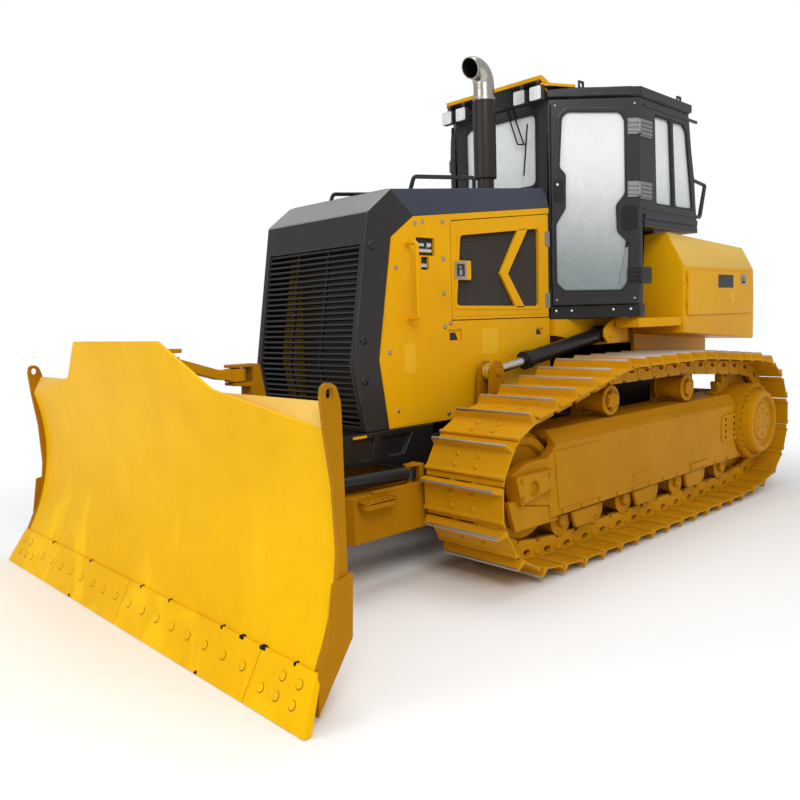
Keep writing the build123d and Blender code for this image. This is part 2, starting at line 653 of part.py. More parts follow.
def lamps():
    found = []
    for y in (-430, -285, 285, 430):
        found.append(block(-370, -310, y - 50, y + 50, 3060, 3165)
                     + block(-362, -350, y - 12, y + 12, 3160, 3206))
    for y in (-600, 600):
        stay = ((-1752, 3040), (lean_x(3040) - 0.5, 3040), (lean_x(3080) - 0.5, 3080), (-1752, 3080))
        found.append(block(-1800, -1750, y - 55, y + 55, 2985, 3080)
                     + prism(stay, "y", y - 15, y + 15))
    return Compound(children=[s for f in found for s in solids(f)])


def cab_glass():
    fx = CAB_FRONT[0]
    half, low, high = WINDSCREEN
    panes = [block(fx - 22, fx - 16, -half - 9, half + 9, low - 9, high + 9)]
    for side in (-1, 1):
        y = side * 862
        panes.append(prism(SIDE_GLASS, "y", y - 3, y + 3))
    low, high = 2290, 2990
    slant = ((lean_x(low) + 22, low), (lean_x(low) + 28, low), (lean_x(high) + 28, high),
             (lean_x(high) + 22, high))
    panes.append(prism(slant, "y", -790, 790))
    return Compound(children=[s for p in panes for s in solids(p)])


def seat():
    base = block(-1300, -950, -180, 180, 1620, 1900)
    cushion = block(-1380, -880, -250, 250, 1900, 2030)
    back = prism(((-1300, 2020), (-1480, 2750), (-1590, 2750), (-1420, 2000)), "y", -240, 240)
    head = block(-1590, -1500, -130, 130, 2750, 2930)
    arms = block(-1400, -900, -340, -270, 2150, 2200) + block(-1400, -900, 270, 340, 2150, 2200)
    posts = block(-1400, -1340, -340, -240, 1990, 2160) + block(-1400, -1340, 240, 340, 1990, 2160)
    return base + cushion + back + head + arms + posts


def console():
    return block(-640, -495, -330, 330, 1620, 2300)


def cab_base():
    (fx, fy), (bx, by) = CAB_FRONT, CAB_B
    plan = ((fx, fy + 5), (bx, by + 5), (bx - 75, by + 5), (bx - 75, -by - 5), (bx, -by - 5), (fx, -fy - 5))
    sill = prism(plan, "z", CAB_SILL[0], CAB_SILL[1] - 0.5)
    under = prism(((-380, 1380), (-380, 1499.5), (-1810, 1499.5), (-1810, 1292), (-900, 1292)), "y", -540, 540)
    return sill, under


def lift_boss():
    x, z = LIFT_BASE
    plates = []
    for side in (-1, 1):
        for low in (LIFT_Y - 84, LIFT_Y + 64):
            plates.append(prism(((x + 85, z - 25), (x + 85, z + 25), (x + 40, z + 75), (x - 60, z + 119),
                                 (x - 240, z + 119), (x - 240, z - 60), (x - 60, z - 75), (x + 40, z - 75)),
                                "y", side * low, side * (low + 20)))
        plates.append(rod((x, side * (LIFT_Y - 90), z), (x, side * (LIFT_Y + 90), z), 32))
        plates.append(block(x - 240, x - 110, side * 520, side * 690, z + 70, z + 119))
    return plates


def rear_tank():
    front_x, fold_x, rear_x = FENDER_X
    side = ((front_x, 1362), (front_x, 2150), (rear_x + 35, 2075), (rear_x, 1650), (rear_x, 1272))
    box = prism(side, "y", FENDER_IN, FENDER_Y)
    chamfer = prism(((FENDER_SLIM_Y, 2200), (FENDER_Y + 5, 2200), (FENDER_Y + 5, 1872), (FENDER_Y, 1880),
                     (FENDER_SLIM_Y, 2150)), "x", rear_x - 10, front_x + 10)
    fold = prism(((front_x + 1, FENDER_SLIM_Y), (front_x + 1, FENDER_Y + 5), (fold_x - 1, FENDER_Y + 5),
                  (fold_x, FENDER_Y)), "z", 1200, 2200)
    ledge = prism(((-930, 700), (-930, 900), (front_x - 1, FENDER_Y - 5), (front_x - 1, FENDER_IN + 1),
                   (-1140, FENDER_IN + 1), (-1140, 700)), "z", 1420, 1490)
    skirt = prism(((-1420, 1080), (-1420, 1400), (rear_x + 35, 1310), (rear_x + 35, 1080)),
                  "y", FENDER_IN - 15, FENDER_IN + 15)
    left = box - chamfer - fold + ledge + skirt
    middle = prism(((-1812, 1295), (-1812, 2100), (rear_x + 35, 2075), (rear_x, 1650), (rear_x + 12, 1295)),
                   "y", -FENDER_IN - 5, FENDER_IN + 5)
    return left + mirrored(left) + middle


def service_door():
    leaf = block(-2640, -1470, FENDER_Y + 1, FENDER_Y + 16, 1500, 1850)
    return leaf + knuckles(-1467, FENDER_Y + 18, (1570, 1780), 7)


def drawbar():
    lug = prism(((-2650, 620), (-2650, 900), (-2690, 870), (-HALF_LENGTH, 870), (-HALF_LENGTH, 640),
                 (-2690, 640)), "y", -110, 110)
    slot = block(-HALF_LENGTH - 5, -2680, -120, 120, 735, 775)
    pin_hole = rod((-2750, 0, 600), (-2750, 0, 900), 24)
    return lug - slot - pin_hole


# ---------------------------------------------------------------- blade frame
def c_frame():
    x, z = LIFT_PIVOT
    y0, y1 = ARM_Y
    z0, z1 = ARM_Z
    arm = prism(((x - 40, z - 120), (x + 200, z0), (1740, z0), (1740, z1), (x + 200, z1), (x - 40, z + 120),
                 (x - 130, z + 60), (x - 130, z - 60)), "y", y0, y1)
    arm = arm - rod((x, y0 - 5, z), (x, y1 + 5, z), 70.5)
    diagonal = prism(((1600, y0), (1600, y1), (1740, y1), (2010, 115), (2010, -5), (1840, -5), (1720, y0)),
                     "z", z0, z1)
    left = arm + diagonal
    ex, ez = LIFT_EYE
    for low, high in ((545, 570), (640, 665)):
        plate = prism(((ex - 90, z1 - 5), (ex + 130, z1 - 5), (ex + 75, ez - 40), (ex + 65, ez + 30),
                       (ex + 20, ez + 78), (ex - 30, ez + 72), (ex - 65, ez + 20), (ex - 60, ez - 60)),
                      "y", low, high)
        left = left + plate
    left = left + block(ex - 60, ex + 95, 565, 645, z1 - 5, 850)
    left = left + block(ex - 80, ex + 120, 545, y1, z1 - 5, z1 + 20)
    left = left + rod((ex, 532, ez), (ex, 678, ez), 26)
    # angle cylinder foot
    ax, ay = ANGLE_BASE
    left = left + rod((ax, ay, z1), (ax, ay, ANGLE_Z + 45), 22)
    left = left + block(ax - 85, ax - 55, 620, 715, z1 - 5, ANGLE_Z + 52)
    left = left + block(ax - 85, ax + 16, 636, 704, ANGLE_Z + 37, ANGLE_Z + 52)
    frame = left + mirrored(left)
    # swivel fork: cleared for the yoke's hub, upright pin
    hub = rod((SWIVEL_X, 0, 345), (SWIVEL_X, 0, 556), 122)
    frame = frame + rod((SWIVEL_X, 0, z0 - 15), (SWIVEL_X, 0, z1 + 25), 105)
    frame = frame - hub - block(SWIVEL_X, SWIVEL_X + 300, -300, 300, 345, 556)
    frame = frame + rod((SWIVEL_X, 0, z0), (SWIVEL_X, 0, z1), 50)
    # mast with the upper fork
    mast = prism(((1740, z1 - 5), (1960, z1 - 5), (1950, 700), (1925, LINK_HEEL_Z - 70),
                  (2035, LINK_HEEL_Z - 60), (2035, LINK_HEEL_Z - 42), (1910, LINK_HEEL_Z - 42),
                  (1910, LINK_HEEL_Z + 42), (2035, LINK_HEEL_Z + 42), (2035, LINK_HEEL_Z + 60),
                  (1860, LINK_HEEL_Z + 60), (1830, LINK_HEEL_Z - 100)), "y", -55, 55)
    mast = mast + rod((SWIVEL_X, 0, LINK_HEEL_Z - 50), (SWIVEL_X, 0, LINK_HEEL_Z + 50), 28)
    return frame + mast


def angle_yoke():
    casting = rod((SWIVEL_X, 0, 350), (SWIVEL_X, 0, 551), 100)
    casting = casting + block(SWIVEL_X, 2375, -90, 90, 350, 551)
    casting = casting - rod((SWIVEL_X, 0, 340), (SWIVEL_X, 0, 560), 50.5)
    casting = casting + block(2245, 2350, -485, 485, 470, 712)
    casting = casting + rod((2370, 0, TILT_Z), (2438, 0, TILT_Z), 59.5)
    ex, ey = ANGLE_EYE
    for side in (-1, 1):
        for z in (ANGLE_Z - 62, ANGLE_Z + 38):
            casting = casting + prism(((2245, side * 470), (ex - 45, side * (ey + 30)), (ex, side * (ey + 55)),
                                       (ex + 45, side * (ey + 30)), (2350, side * 470)), "z", z, z + 24)
            cap_z = z - 8 if z < ANGLE_Z else z + 20
            casting = casting + rod((ex, side * ey, cap_z), (ex, side * ey, cap_z + 12), 26)
    by, bz = TILT_BASE
    post = prism(((-70, 700), (230, 700), (by + 60, bz + 40), (by, bz + 60), (by - 60, bz + 40)), "x", 2222, 2250)
    return casting + post + rod((2236, by, bz), (TILT_X + 42, by, bz), 26)


def upper_link():
    hx, hz = SWIVEL_X, LINK_HEEL_Z
    ex, ez = LINK_EYE
    link = rod((hx, 0, hz - 36), (hx, 0, hz + 36), 62)
    link = link + prism(((hx + 20, hz - 30), (hx + 120, hz - 20), (ex - 20, ez - 30), (ex - 20, ez + 30),
                         (hx + 110, hz + 34), (hx + 20, hz + 34)), "y", -38, 38)
    link = link + rod((ex, 0, ez - 34), (ex, 0, ez + 34), 56)
    link = link - rod((hx, 0, hz - 60), (hx, 0, hz + 60), 28.5)
    return link - rod((ex, 0, ez - 60), (ex, 0, ez + 60), 34)


def blade_profile(offset):
    """Front face of the mouldboard from the seam to the crest, set back by an offset."""
    sx, sz = BLADE_SEAM
    mx, mz = BLADE_MID
    tx, tz = BLADE_TOP
    cx, cz = BLADE_CREST
    arc = ThreePointArc((sx - offset, 0, sz), (mx - offset, 0, mz), (tx - offset, 0, tz))
    return arc, Line((tx - offset, 0, tz), (cx - offset, 0, cz))


def blade():
    arc, line = blade_profile(0)
    arc_b, line_b = blade_profile(MOULDBOARD)
    wire = [arc, line, Line(line @ 1, line_b @ 1), line_b, arc_b, Line(arc_b @ 0, arc @ 0)]
    sheet = make_face(Wire(wire))
    board = Pos(0, -BLADE_HALF, 0) * extrude(sheet, amount=2 * BLADE_HALF, dir=(0, 1, 0))
    tz, cz = BLADE_TOP[1], BLADE_CREST[1]
    outline = ((-BLADE_HALF, 100), (BLADE_HALF, 100), (BLADE_HALF, tz), (823, 1253), (498, cz), (-498, cz),
               (-823, 1253), (-BLADE_HALF, tz))
    board = board & prism(outline, "x", 2400, 2800)
    # closed beams behind the mouldboard, and the top plate that slopes back from its edge
    lower = prism(((2440, 300), (2440, 600), (2530, 640), (2560, 560), (2620, 340), (2660, 215), (2560, 215)),
                  "y", -BLADE_BEAM_HALF, BLADE_BEAM_HALF)
    upper = prism(((2455, 1050), (2455, 1190), (2530, 1224), (2580, 1128), (2560, 1040), (2530, 980)),
                  "y", -BLADE_BEAM_HALF, BLADE_BEAM_HALF)
    top = prism(((2530, 1226), (2592, 1124), (2574, 1112), (2514, 1208)), "y", -BLADE_HALF, BLADE_HALF)
    body = board + lower + upper + top
    ear_x, ear_z = BLADE_EAR
    end = ((2700, 30), (2691, 187), (2640, 300), (2583, 450), (2560, 640), (2570, 900), (2600, 1118),
           (2612, 1250), (2533, 1275), (2519, 1226), (2517, 1176), (2517, 560), (2516, 297))
    skid = ((2700, 30), (2691, 187), (2640, 300), (2604, 532), (2503, 555), (2516, 297))
    for side in (-1, 1):
        y0, y1 = sorted((side * (BLADE_HALF - 20), side * (BLADE_HALF + 5)))
        plate = prism(end, "y", y0, y1) + rod((ear_x, y0, ear_z), (ear_x, y1, ear_z), 42)
        body = body + (plate - rod((ear_x, y0 - 5, ear_z), (ear_x, y1 + 5, ear_z), 18))
        y0, y1 = sorted((side * (BLADE_HALF + 4), side * (BLADE_HALF + 20)))
        body = body + prism(skid, "y", y0, y1)
    for y in (-1100, -550, 550, 1100):
        body = body + prism(((2450, 590), (2450, 1060), (2524, 1060), (2524, 600)), "y", y - 10, y + 10)
    # trunnion hub for the tilt pin
    hub = rod((2385, 0, TILT_Z), (2445, 0, TILT_Z), 115)
    body = body + hub - rod((2380, 0, TILT_Z), (2442, 0, TILT_Z), 60)
    # upper link fork
    ex, ez = LINK_EYE
    slope = (BLADE_CREST[0] - BLADE_TOP[0]) / (BLADE_CREST[1] - BLADE_TOP[1])
    for z in (ez - 78, ez + 56):
        root_x = BLADE_TOP[0] + (z - BLADE_TOP[1]) * slope - 8
        body = body + prism(((ex - 50, -60), (ex - 50, 60), (root_x, 130), (root_x, -130)), "z", z, z + 22)
    body = body + rod((ex, 0, ez - 60), (ex, 0, ez + 60), 17)
    # tilt cylinder lug
    ty, tz2 = TILT_EYE
    lug_x = TILT_X + 60
    body = body + prism(((ty - 55, tz2), (ty - 40, tz2 + 45), (ty, tz2 + 60), (ty + 60, tz2 + 30),
                         (ty + 110, 700), (ty - 110, 700)), "x", lug_x - 15, lug_x + 15)
    for low in (ty - 110, ty + 85):
        body = body + prism(((lug_x, 700), (lug_x, 960), (2524, 1060), (2524, 700)), "y", low, low + 25)
    return body + rod((TILT_X - 35, ty, tz2), (TILT_X + 50, ty, tz2), 20) - cutting_edges()


def cutting_edges():
    (bx, bz), (sx, sz) = BLADE_EDGE, BLADE_SEAM
    section = ((bx, bz), (sx + 2, sz + 22), (sx - 22, sz + 10), (bx - 34, bz))
    shape = []
    for y0, y1 in ((-1240, -2), (2, 1240)):
        shape.append(prism(section, "y", y0, y1))
    for side in (-1, 1):
        low = make_face(Polyline((bx, side * 1244, bz), (bx - 34, side * 1244, bz),
                                 (sx - 22, side * 1244, sz + 10), (sx + 2, side * 1244, sz + 22), close=True))
        bit = extrude(low, amount=BLADE_EDGE_HALF - 1244, dir=(0, side, 0))
        cut = prism(((side * (BLADE_EDGE_HALF + 5), 0), (side * (BLADE_HALF + 5), sz + 30),
                     (side * 1800, sz + 30), (side * 1800, 0)), "x", 2600, 2850)
        shape.append(bit - cut)
    return Compound(children=[s for p in shape for s in solids(p)])


# ---------------------------------------------------------------- cylinders
def cylinder(base, eye, spin, barrel_end, rod_start, radii, widths, bores):
    """Barrel and rod between two eyes whose axes run along `spin`."""
    base, eye, spin = Vector(*base), Vector(*eye), Vector(*spin)
    length = (eye - base).length
    way = (eye - base).normalized()
    barrel_r, rod_r, eye_r = radii

    def ring(centre, width, bore):
        half = spin * (width / 2)
        boss = rod(centre - half, centre + half, eye_r)
        return boss - rod(centre - half * 1.2, centre + half * 1.2, bore) if bore else boss

    def at(distance):
        return base + way * distance

    barrel = rod(at(eye_r * 0.6), at(barrel_end), barrel_r) - rod(at(-eye_r), at(eye_r * 0.75), bores[0] + 4)
    barrel = barrel + rod(at(barrel_end - 60), at(barrel_end), barrel_r + 9)
    barrel = barrel + ring(base, widths[0], bores[0])
    barrel = barrel - rod(at(eye_r + 50), at(barrel_end + 5), rod_r + 0.5)
    shaft = rod(at(rod_start), at(length - eye_r * 0.5), rod_r) + ring(eye, widths[1], bores[1])
    return barrel, shaft


# ---------------------------------------------------------------- the machine
def build():
    keep_pair("track", track())
    keep_pair("track_frame", track_frame())
    keep_pair("track_rollers", track_rollers())
    keep_pair("carrier_rollers", carrier_rollers())
    keep_pair("idler", idler())
    keep_pair("final_drive", final_drive())
    keep("main_frame", main_frame())
    keep("engine_block", engine_block())
    keep("nose_guard", nose_guard())
    keep("radiator_mask", radiator_mask())
    keep("radiator_grille", radiator_grille())
    keep("hood", hood())
    keep_pair("side_panel", side_panel())
    keep_pair("engine_door", engine_door())
    keep_pair("engine_mesh", engine_mesh())
    keep("exhaust_stack", exhaust_stack())
    keep("hood_rails", hood_rails())
    sill, under = cab_base()
    keep("cab_sill", sill)
    keep("cab_base", Part() + [under] + lift_boss())
    keep("cab_frame", cab_frame())
    keep("cab_roof", cab_roof())
    keep("visor", visor())
    keep("work_lamps", lamps())
    keep("cab_glass", cab_glass())
    keep_pair("cab_door", cab_door())
    keep_pair("door_glass", cab_door_glass())
    keep("operator_seat", seat())
    keep("console", console())
    keep("rear_tank", rear_tank())
    keep_pair("service_door", service_door())
    keep("drawbar", drawbar())
    keep("c_frame", c_frame())
    keep("angle_yoke", angle_yoke())
    keep("upper_link", upper_link())
    keep("blade", blade())
    keep("cutting_edges", cutting_edges())
    lift = cylinder((LIFT_BASE[0], LIFT_Y, LIFT_BASE[1]), (LIFT_EYE[0], LIFT_Y, LIFT_EYE[1]), (0, 1, 0),
                    985.0, 370.0, (55.0, 32.0, 62.0), (118.0, 56.0), (32.5, 42.0))
    keep_pair("lift_barrel", lift[0])
    keep_pair("lift_rod", lift[1])
    angle = cylinder((*ANGLE_BASE, ANGLE_Z), (*ANGLE_EYE, ANGLE_Z), (0, 0, 1),
                     690.0, 378.0, (40.0, 24.0, 44.0), (60.0, 60.0), (22.5, 0))
    keep_pair("angle_barrel", angle[0])
    keep_pair("angle_rod", angle[1])
    tilt = cylinder((TILT_X, *TILT_BASE), (TILT_X, *TILT_EYE), (1, 0, 0),
                    560.0, 175.0, (50.0, 30.0, 54.0), (60.0, 56.0), (26.5, 27.0))
    keep("tilt_barrel", tilt[0])
    keep("tilt_rod", tilt[1])


build()
os.makedirs("parts", exist_ok=True)
for node, shape in PARTS.items():
    export_step(shape, f"parts/{node}.step")
print(len(PARTS), "nodes")
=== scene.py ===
"""Crawler bulldozer with an angling blade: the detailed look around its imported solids.

Sizes are in metres in the machine's own frame: +X forward to the blade, +Y to the
machine's left, +Z up, with the ground at zero.
"""
from __future__ import annotations

import json
import logging
import math
from dataclasses import dataclass
from enum import Enum
from typing import Callable, Iterable, Sequence

import bmesh
import bpy
from mathutils import Matrix, Vector

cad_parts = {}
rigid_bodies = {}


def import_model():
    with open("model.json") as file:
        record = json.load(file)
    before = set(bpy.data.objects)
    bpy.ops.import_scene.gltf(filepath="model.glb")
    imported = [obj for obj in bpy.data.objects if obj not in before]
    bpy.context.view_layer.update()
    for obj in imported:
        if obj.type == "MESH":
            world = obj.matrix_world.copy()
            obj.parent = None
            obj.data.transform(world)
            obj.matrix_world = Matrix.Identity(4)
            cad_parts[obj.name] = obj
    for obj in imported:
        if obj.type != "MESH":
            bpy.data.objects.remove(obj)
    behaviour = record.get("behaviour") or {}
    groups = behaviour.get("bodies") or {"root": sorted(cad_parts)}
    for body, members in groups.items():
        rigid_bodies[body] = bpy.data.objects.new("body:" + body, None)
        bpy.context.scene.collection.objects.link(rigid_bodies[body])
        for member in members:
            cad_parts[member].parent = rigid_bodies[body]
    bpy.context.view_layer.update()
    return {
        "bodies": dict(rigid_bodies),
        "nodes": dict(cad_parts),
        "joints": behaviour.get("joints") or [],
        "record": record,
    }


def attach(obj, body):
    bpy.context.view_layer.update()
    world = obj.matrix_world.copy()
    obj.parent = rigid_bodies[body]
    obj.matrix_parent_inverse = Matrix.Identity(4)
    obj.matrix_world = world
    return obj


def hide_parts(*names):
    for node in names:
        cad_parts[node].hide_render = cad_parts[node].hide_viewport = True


LOG = logging.getLogger("bulldozer")
Point = Sequence[float]
Outline = Sequence[Point]
FRAME: dict = {}


class Axis(Enum):
    """Direction that an outline is run along."""

    X = "x"
    Y = "y"
    Z = "z"


class Side(Enum):
    """Side of the machine, with the sign of its Y."""

    LEFT = 1
    RIGHT = -1

    @property
    def word(self) -> str:
        """The side's name in node names."""
        return self.name.lower()


SIDES = (Side.LEFT, Side.RIGHT)
LEFTWARDS = (0, 1, 0)
UPWARDS = (0, 0, 1)


# ---------------------------------------------------------------- shader maths
class Wire:
    """A shader socket that adds Math nodes when it is used in an expression."""

    def __init__(self, sheet: "Sheet", socket: bpy.types.NodeSocket) -> None:
        """Keep the sheet that owns the socket, and the socket."""
        self.sheet = sheet
        self.socket = socket

    def maths(self, operation: str, *values: "Wire | float") -> "Wire":
        """Add one Math node and return its result."""
        return self.sheet.node("ShaderNodeMath", {"operation": operation}, dict(enumerate(values))).out()

    def __add__(self, other: "Wire | float") -> "Wire":
        """Sum."""
        return self.maths("ADD", self, other)

    def __rsub__(self, other: float) -> "Wire":
        """Difference from a number."""
        return self.maths("SUBTRACT", other, self)

    def __mul__(self, other: "Wire | float") -> "Wire":
        """Product."""
        return self.maths("MULTIPLY", self, other)

    def __pow__(self, other: float) -> "Wire":
        """Power."""
        return self.maths("POWER", self, other)

    def step(self, low: float, high: float) -> "Wire":
        """Rise smoothly from 0 at low to 1 at high, or fall when low is above high.

        Args:
            low: value where the result is 0.
            high: value where the result is 1.

        Returns:
            The result between 0 and 1.
        """
        return self.sheet.node("ShaderNodeMapRange", {"interpolation_type": "SMOOTHSTEP"},
                               {"Value": self, "From Min": low, "From Max": high}).out()


class Node:
    """One shader node of a sheet."""

    def __init__(self, sheet: "Sheet", made: bpy.types.Node) -> None:
        """Keep the sheet and the node."""
        self.sheet = sheet
        self.made = made

    def out(self, key: int | str = 0) -> Wire:
        """The node's output with that index or name."""
        return Wire(self.sheet, self.made.outputs[key])


class Sheet:
    """The node tree of a material or world while it is being written."""

    def __init__(self, owner: bpy.types.Material | bpy.types.World) -> None:
        """Clear the owner's tree."""
        self.owner = owner
        owner.use_nodes = True
        self.tree = owner.node_tree
        self.tree.nodes.clear()

    def node(self, kind: str, settings: dict | None = None, inputs: dict | None = None) -> Node:
        """Add a node.

        Args:
            kind: the node's type name.
            settings: the node's own settings.
            inputs: socket index or name to a number, a colour or a wire.

        Returns:
            The node.
        """
        made = self.tree.nodes.new(kind)
        for key, value in (settings or {}).items():
            setattr(made, key, value)
        for key, value in (inputs or {}).items():
            if isinstance(value, Wire):
                self.tree.links.new(value.socket, made.inputs[key])
            else:
                made.inputs[key].default_value = value
        return Node(self, made)

    def place(self) -> Wire:
        """The surface point in the machine's frame."""
        return self.node("ShaderNodeTexCoord").out("Object")

    def parts(self, vector: Wire | None = None) -> list[Wire]:
        """X, Y and Z of a vector, by default of the surface point."""
        split = self.node("ShaderNodeSeparateXYZ", None, {0: vector or self.place()})
        return [split.out(index) for index in range(3)]

    def facing_up(self) -> Wire:
        """How far the surface faces up, from -1 to 1."""
        return self.parts(self.node("ShaderNodeNewGeometry").out("Normal"))[2]

    def stretched(self, scale: Point) -> Wire:
        """The surface point scaled along each axis."""
        return self.node("ShaderNodeMapping", None, {"Vector": self.place(), "Scale": scale}).out()

    def noise(self, scale: float, detail: float = 3.0, rough: float = 0.55,
              vector: Wire | None = None, twist: float = 0.0) -> Wire:
        """Noise between about 0.3 and 0.7.

        Args:
            scale: cells in a metre.
            detail: octaves.
            rough: share of the finer octaves.
            vector: place to read, the surface point by default.
            twist: distortion.

        Returns:
            The noise.
        """
        return self.node("ShaderNodeTexNoise", None, {
            "Vector": vector or self.place(), "Scale": scale, "Detail": detail,
            "Roughness": rough, "Distortion": twist}).out(0)

    def bands(self, way: Axis, scale: float, twist: float) -> Wire:
        """Even bands across an axis, with their scale and distortion."""
        return self.node("ShaderNodeTexWave", {"bands_direction": way.name}, {
            "Vector": self.place(), "Scale": scale, "Distortion": twist}).out(1)

    def mixed(self, first: "Wire | Point", second: "Wire | Point", share: "Wire | float") -> Wire:
        """Blend two colours.

        Args:
            first: colour where share is 0.
            second: colour where share is 1.
            share: the second colour's share.

        Returns:
            The blended colour.
        """
        pair = [c if isinstance(c, Wire) else (*c, 1.0) for c in (first, second)]
        return self.node("ShaderNodeMix", {"data_type": "RGBA"}, {0: share, 6: pair[0], 7: pair[1]}).out(2)

    def bump(self, height: Wire, strength: float) -> Wire:
        """Turn a height in metres into a normal."""
        return self.node("ShaderNodeBump", None, {"Height": height, "Strength": strength, "Distance": 1.0}).out()

    def rub(self) -> Wire:
        """How much an edge is rubbed, 1 on the rounded edges of a piece."""
        return self.node("ShaderNodeAttribute", {"attribute_name": RUB}).out("Fac")

    def finish(self, **values: "Wire | float | Point") -> bpy.types.Material:
        """Close the sheet with a Principled shader.

        Args:
            **values: its sockets, with underscores for spaces.

        Returns:
            The material.
        """
        inputs = {}
        for key, value in values.items():
            inputs[key.replace("_", " ")] = (*value, 1.0) if isinstance(value, tuple) else value
        shader = self.node("ShaderNodeBsdfPrincipled", None, inputs).out()
        self.node("ShaderNodeOutputMaterial", None, {0: shader})
        return self.owner


# ---------------------------------------------------------------- finishes
@dataclass(frozen=True)
class Finish:
    """A surface finish and the record's material slot it belongs to."""

    name: str
    slot: str

    def make(self, s: Sheet) -> bpy.types.Material:
        """Write the material on a sheet."""
        raise NotImplementedError

    def material(self) -> bpy.types.Material:
        """The material, built on first use."""
        return bpy.data.materials.get(self.name) or self.make(Sheet(bpy.data.materials.new(self.name)))


@dataclass(frozen=True)
class Paint(Finish):
    """Sprayed machine enamel with drift in tone, dust, wavy sheet and rubbed edges, and optional pale ripples painted
    in as reflections on the sheet.
    """

    tone: Point = (0.8, 0.4, 0.003)
    deep: Point = (0.7, 0.32, 0.002)
    bare: Point = (0.52, 0.27, 0.02)
    dust: Point = (0.48, 0.33, 0.14)
    roughness: float = 0.36
    coat: float = 0.03
    wave: float = 0.01
    dusty: float = 0.08
    wear: float = 0.5
    # share of the pale ripples painted in as reflections
    reflection_ripples: float = 0.0
    shine: float = 0.22
    sheen: Point = (1.0, 0.66, 0.12)

    def make(self, s: Sheet) -> bpy.types.Material:
        """Write the material on a sheet."""
        z = s.parts()[2]
        drift = s.noise(1.1, 2.0).step(0.35, 0.65)
        cloud = s.noise(6.0, 5.0, 0.6)
        grain = s.noise(70.0, 3.0, 0.7)
        colour = s.mixed(self.tone, self.deep, drift * 0.5 + cloud.step(0.45, 0.7) * 0.18)
        if self.reflection_ripples > 0:
            # pale wavy ripples, stronger low down: a painted reflection of the surroundings on the wavy sheet
            painted_ripple = s.noise(2.1, 2.0, 0.5, s.stretched((1.0, 1.0, 0.55)), 1.2).step(0.52, 0.66)
            colour = s.mixed(colour, (0.95, 0.58, 0.004), painted_ripple * z.step(1.0, 0.25) * self.reflection_ripples)
        low = z.step(1.3, 0.1) * 0.7 + 0.3
        settled = s.facing_up().step(0.2, 0.95) * 0.8 + 0.2
        grime = cloud.step(0.38, 0.72) * low * settled * self.dusty
        colour = s.mixed(colour, self.dust, grime)
        scuff = s.noise(23.0, 6.0, 0.75, twist=0.4).step(0.6, 0.68)
        edge = s.rub() * s.noise(9.0, 4.0, 0.7).step(0.46, 0.58)
        worn = edge * self.wear + scuff * (0.06 * self.wear)
        colour = s.mixed(colour, self.bare, worn)
        runs = s.noise(3.0, 3.0, 0.6, s.stretched((6.0, 6.0, 0.7))).step(0.52, 0.72)
        colour = s.mixed(colour, tuple(c * 0.62 for c in self.deep), runs * (low * 0.1))
        rough = grain * 0.1 + grime * 0.8 + worn * 0.25 + (self.roughness - 0.05)
        height = s.noise(1.7, 1.0) * self.wave + grain * 0.00025 + cloud * 0.0006
        return s.finish(Base_Color=colour, Roughness=rough, Coat_Weight=self.coat, Coat_Roughness=0.14, IOR=1.45,
                        Specular_IOR_Level=self.shine, Specular_Tint=self.sheen, Normal=s.bump(height, 0.55))


@dataclass(frozen=True)
class Steel(Finish):
    """Bare or oiled steel: ground, polished or rolled, with stains."""

    tone: Point = (0.42, 0.4, 0.37)
    stain: Point = (0.16, 0.11, 0.07)
    roughness: float = 0.38
    metallic: float = 1.0
    stained: float = 0.4
    grain: float = 0.0006

    def make(self, s: Sheet) -> bpy.types.Material:
        """Write the material on a sheet."""
        spots = s.noise(11.0, 6.0, 0.7).step(0.48, 0.68)
        lines = s.noise(60.0, 3.0, 0.7)
        colour = s.mixed(self.tone, self.stain, spots * self.stained)
        rough = lines * 0.16 + spots * (0.2 * self.stained) + (self.roughness - 0.08)
        metal = 1.0 - spots * (self.stained * 0.7)
        return s.finish(Base_Color=colour, Roughness=rough, Metallic=metal * self.metallic,
                        Normal=s.bump(lines * self.grain, 0.6))


@dataclass(frozen=True)
class Plastic(Finish):
    """Moulded plastic or rubber with a fine grain."""

    tone: Point
    roughness: float = 0.55
    dust: float = 0.15

    def make(self, s: Sheet) -> bpy.types.Material:
        """Write the material on a sheet."""
        pebble = s.noise(320.0, 2.0, 0.6)
        cloud = s.noise(8.0, 4.0, 0.6)
        colour = s.mixed(self.tone, tuple(c * 0.6 + 0.06 for c in self.tone), cloud.step(0.4, 0.75) * self.dust)
        return s.finish(Base_Color=colour, Roughness=cloud * 0.2 + (self.roughness - 0.1),
                        Specular_IOR_Level=0.3, Normal=s.bump(pebble * 0.0004, 0.7))


@dataclass(frozen=True)
class Core(Finish):
    """Radiator core: upright tubes with fine fins between them."""

    def make(self, s: Sheet) -> bpy.types.Material:
        """Write the material on a sheet."""
        tubes = s.bands(Axis.Y, 16.0, 0.0)
        fins = s.bands(Axis.Z, 55.0, 0.2)
        colour = s.mixed((0.012, 0.012, 0.013), (0.05, 0.048, 0.045), tubes * 0.7 + fins * 0.3)
        return s.finish(Base_Color=colour, Roughness=0.55, Metallic=0.4,
                        Normal=s.bump(tubes * 0.004 + fins * 0.001, 0.8))


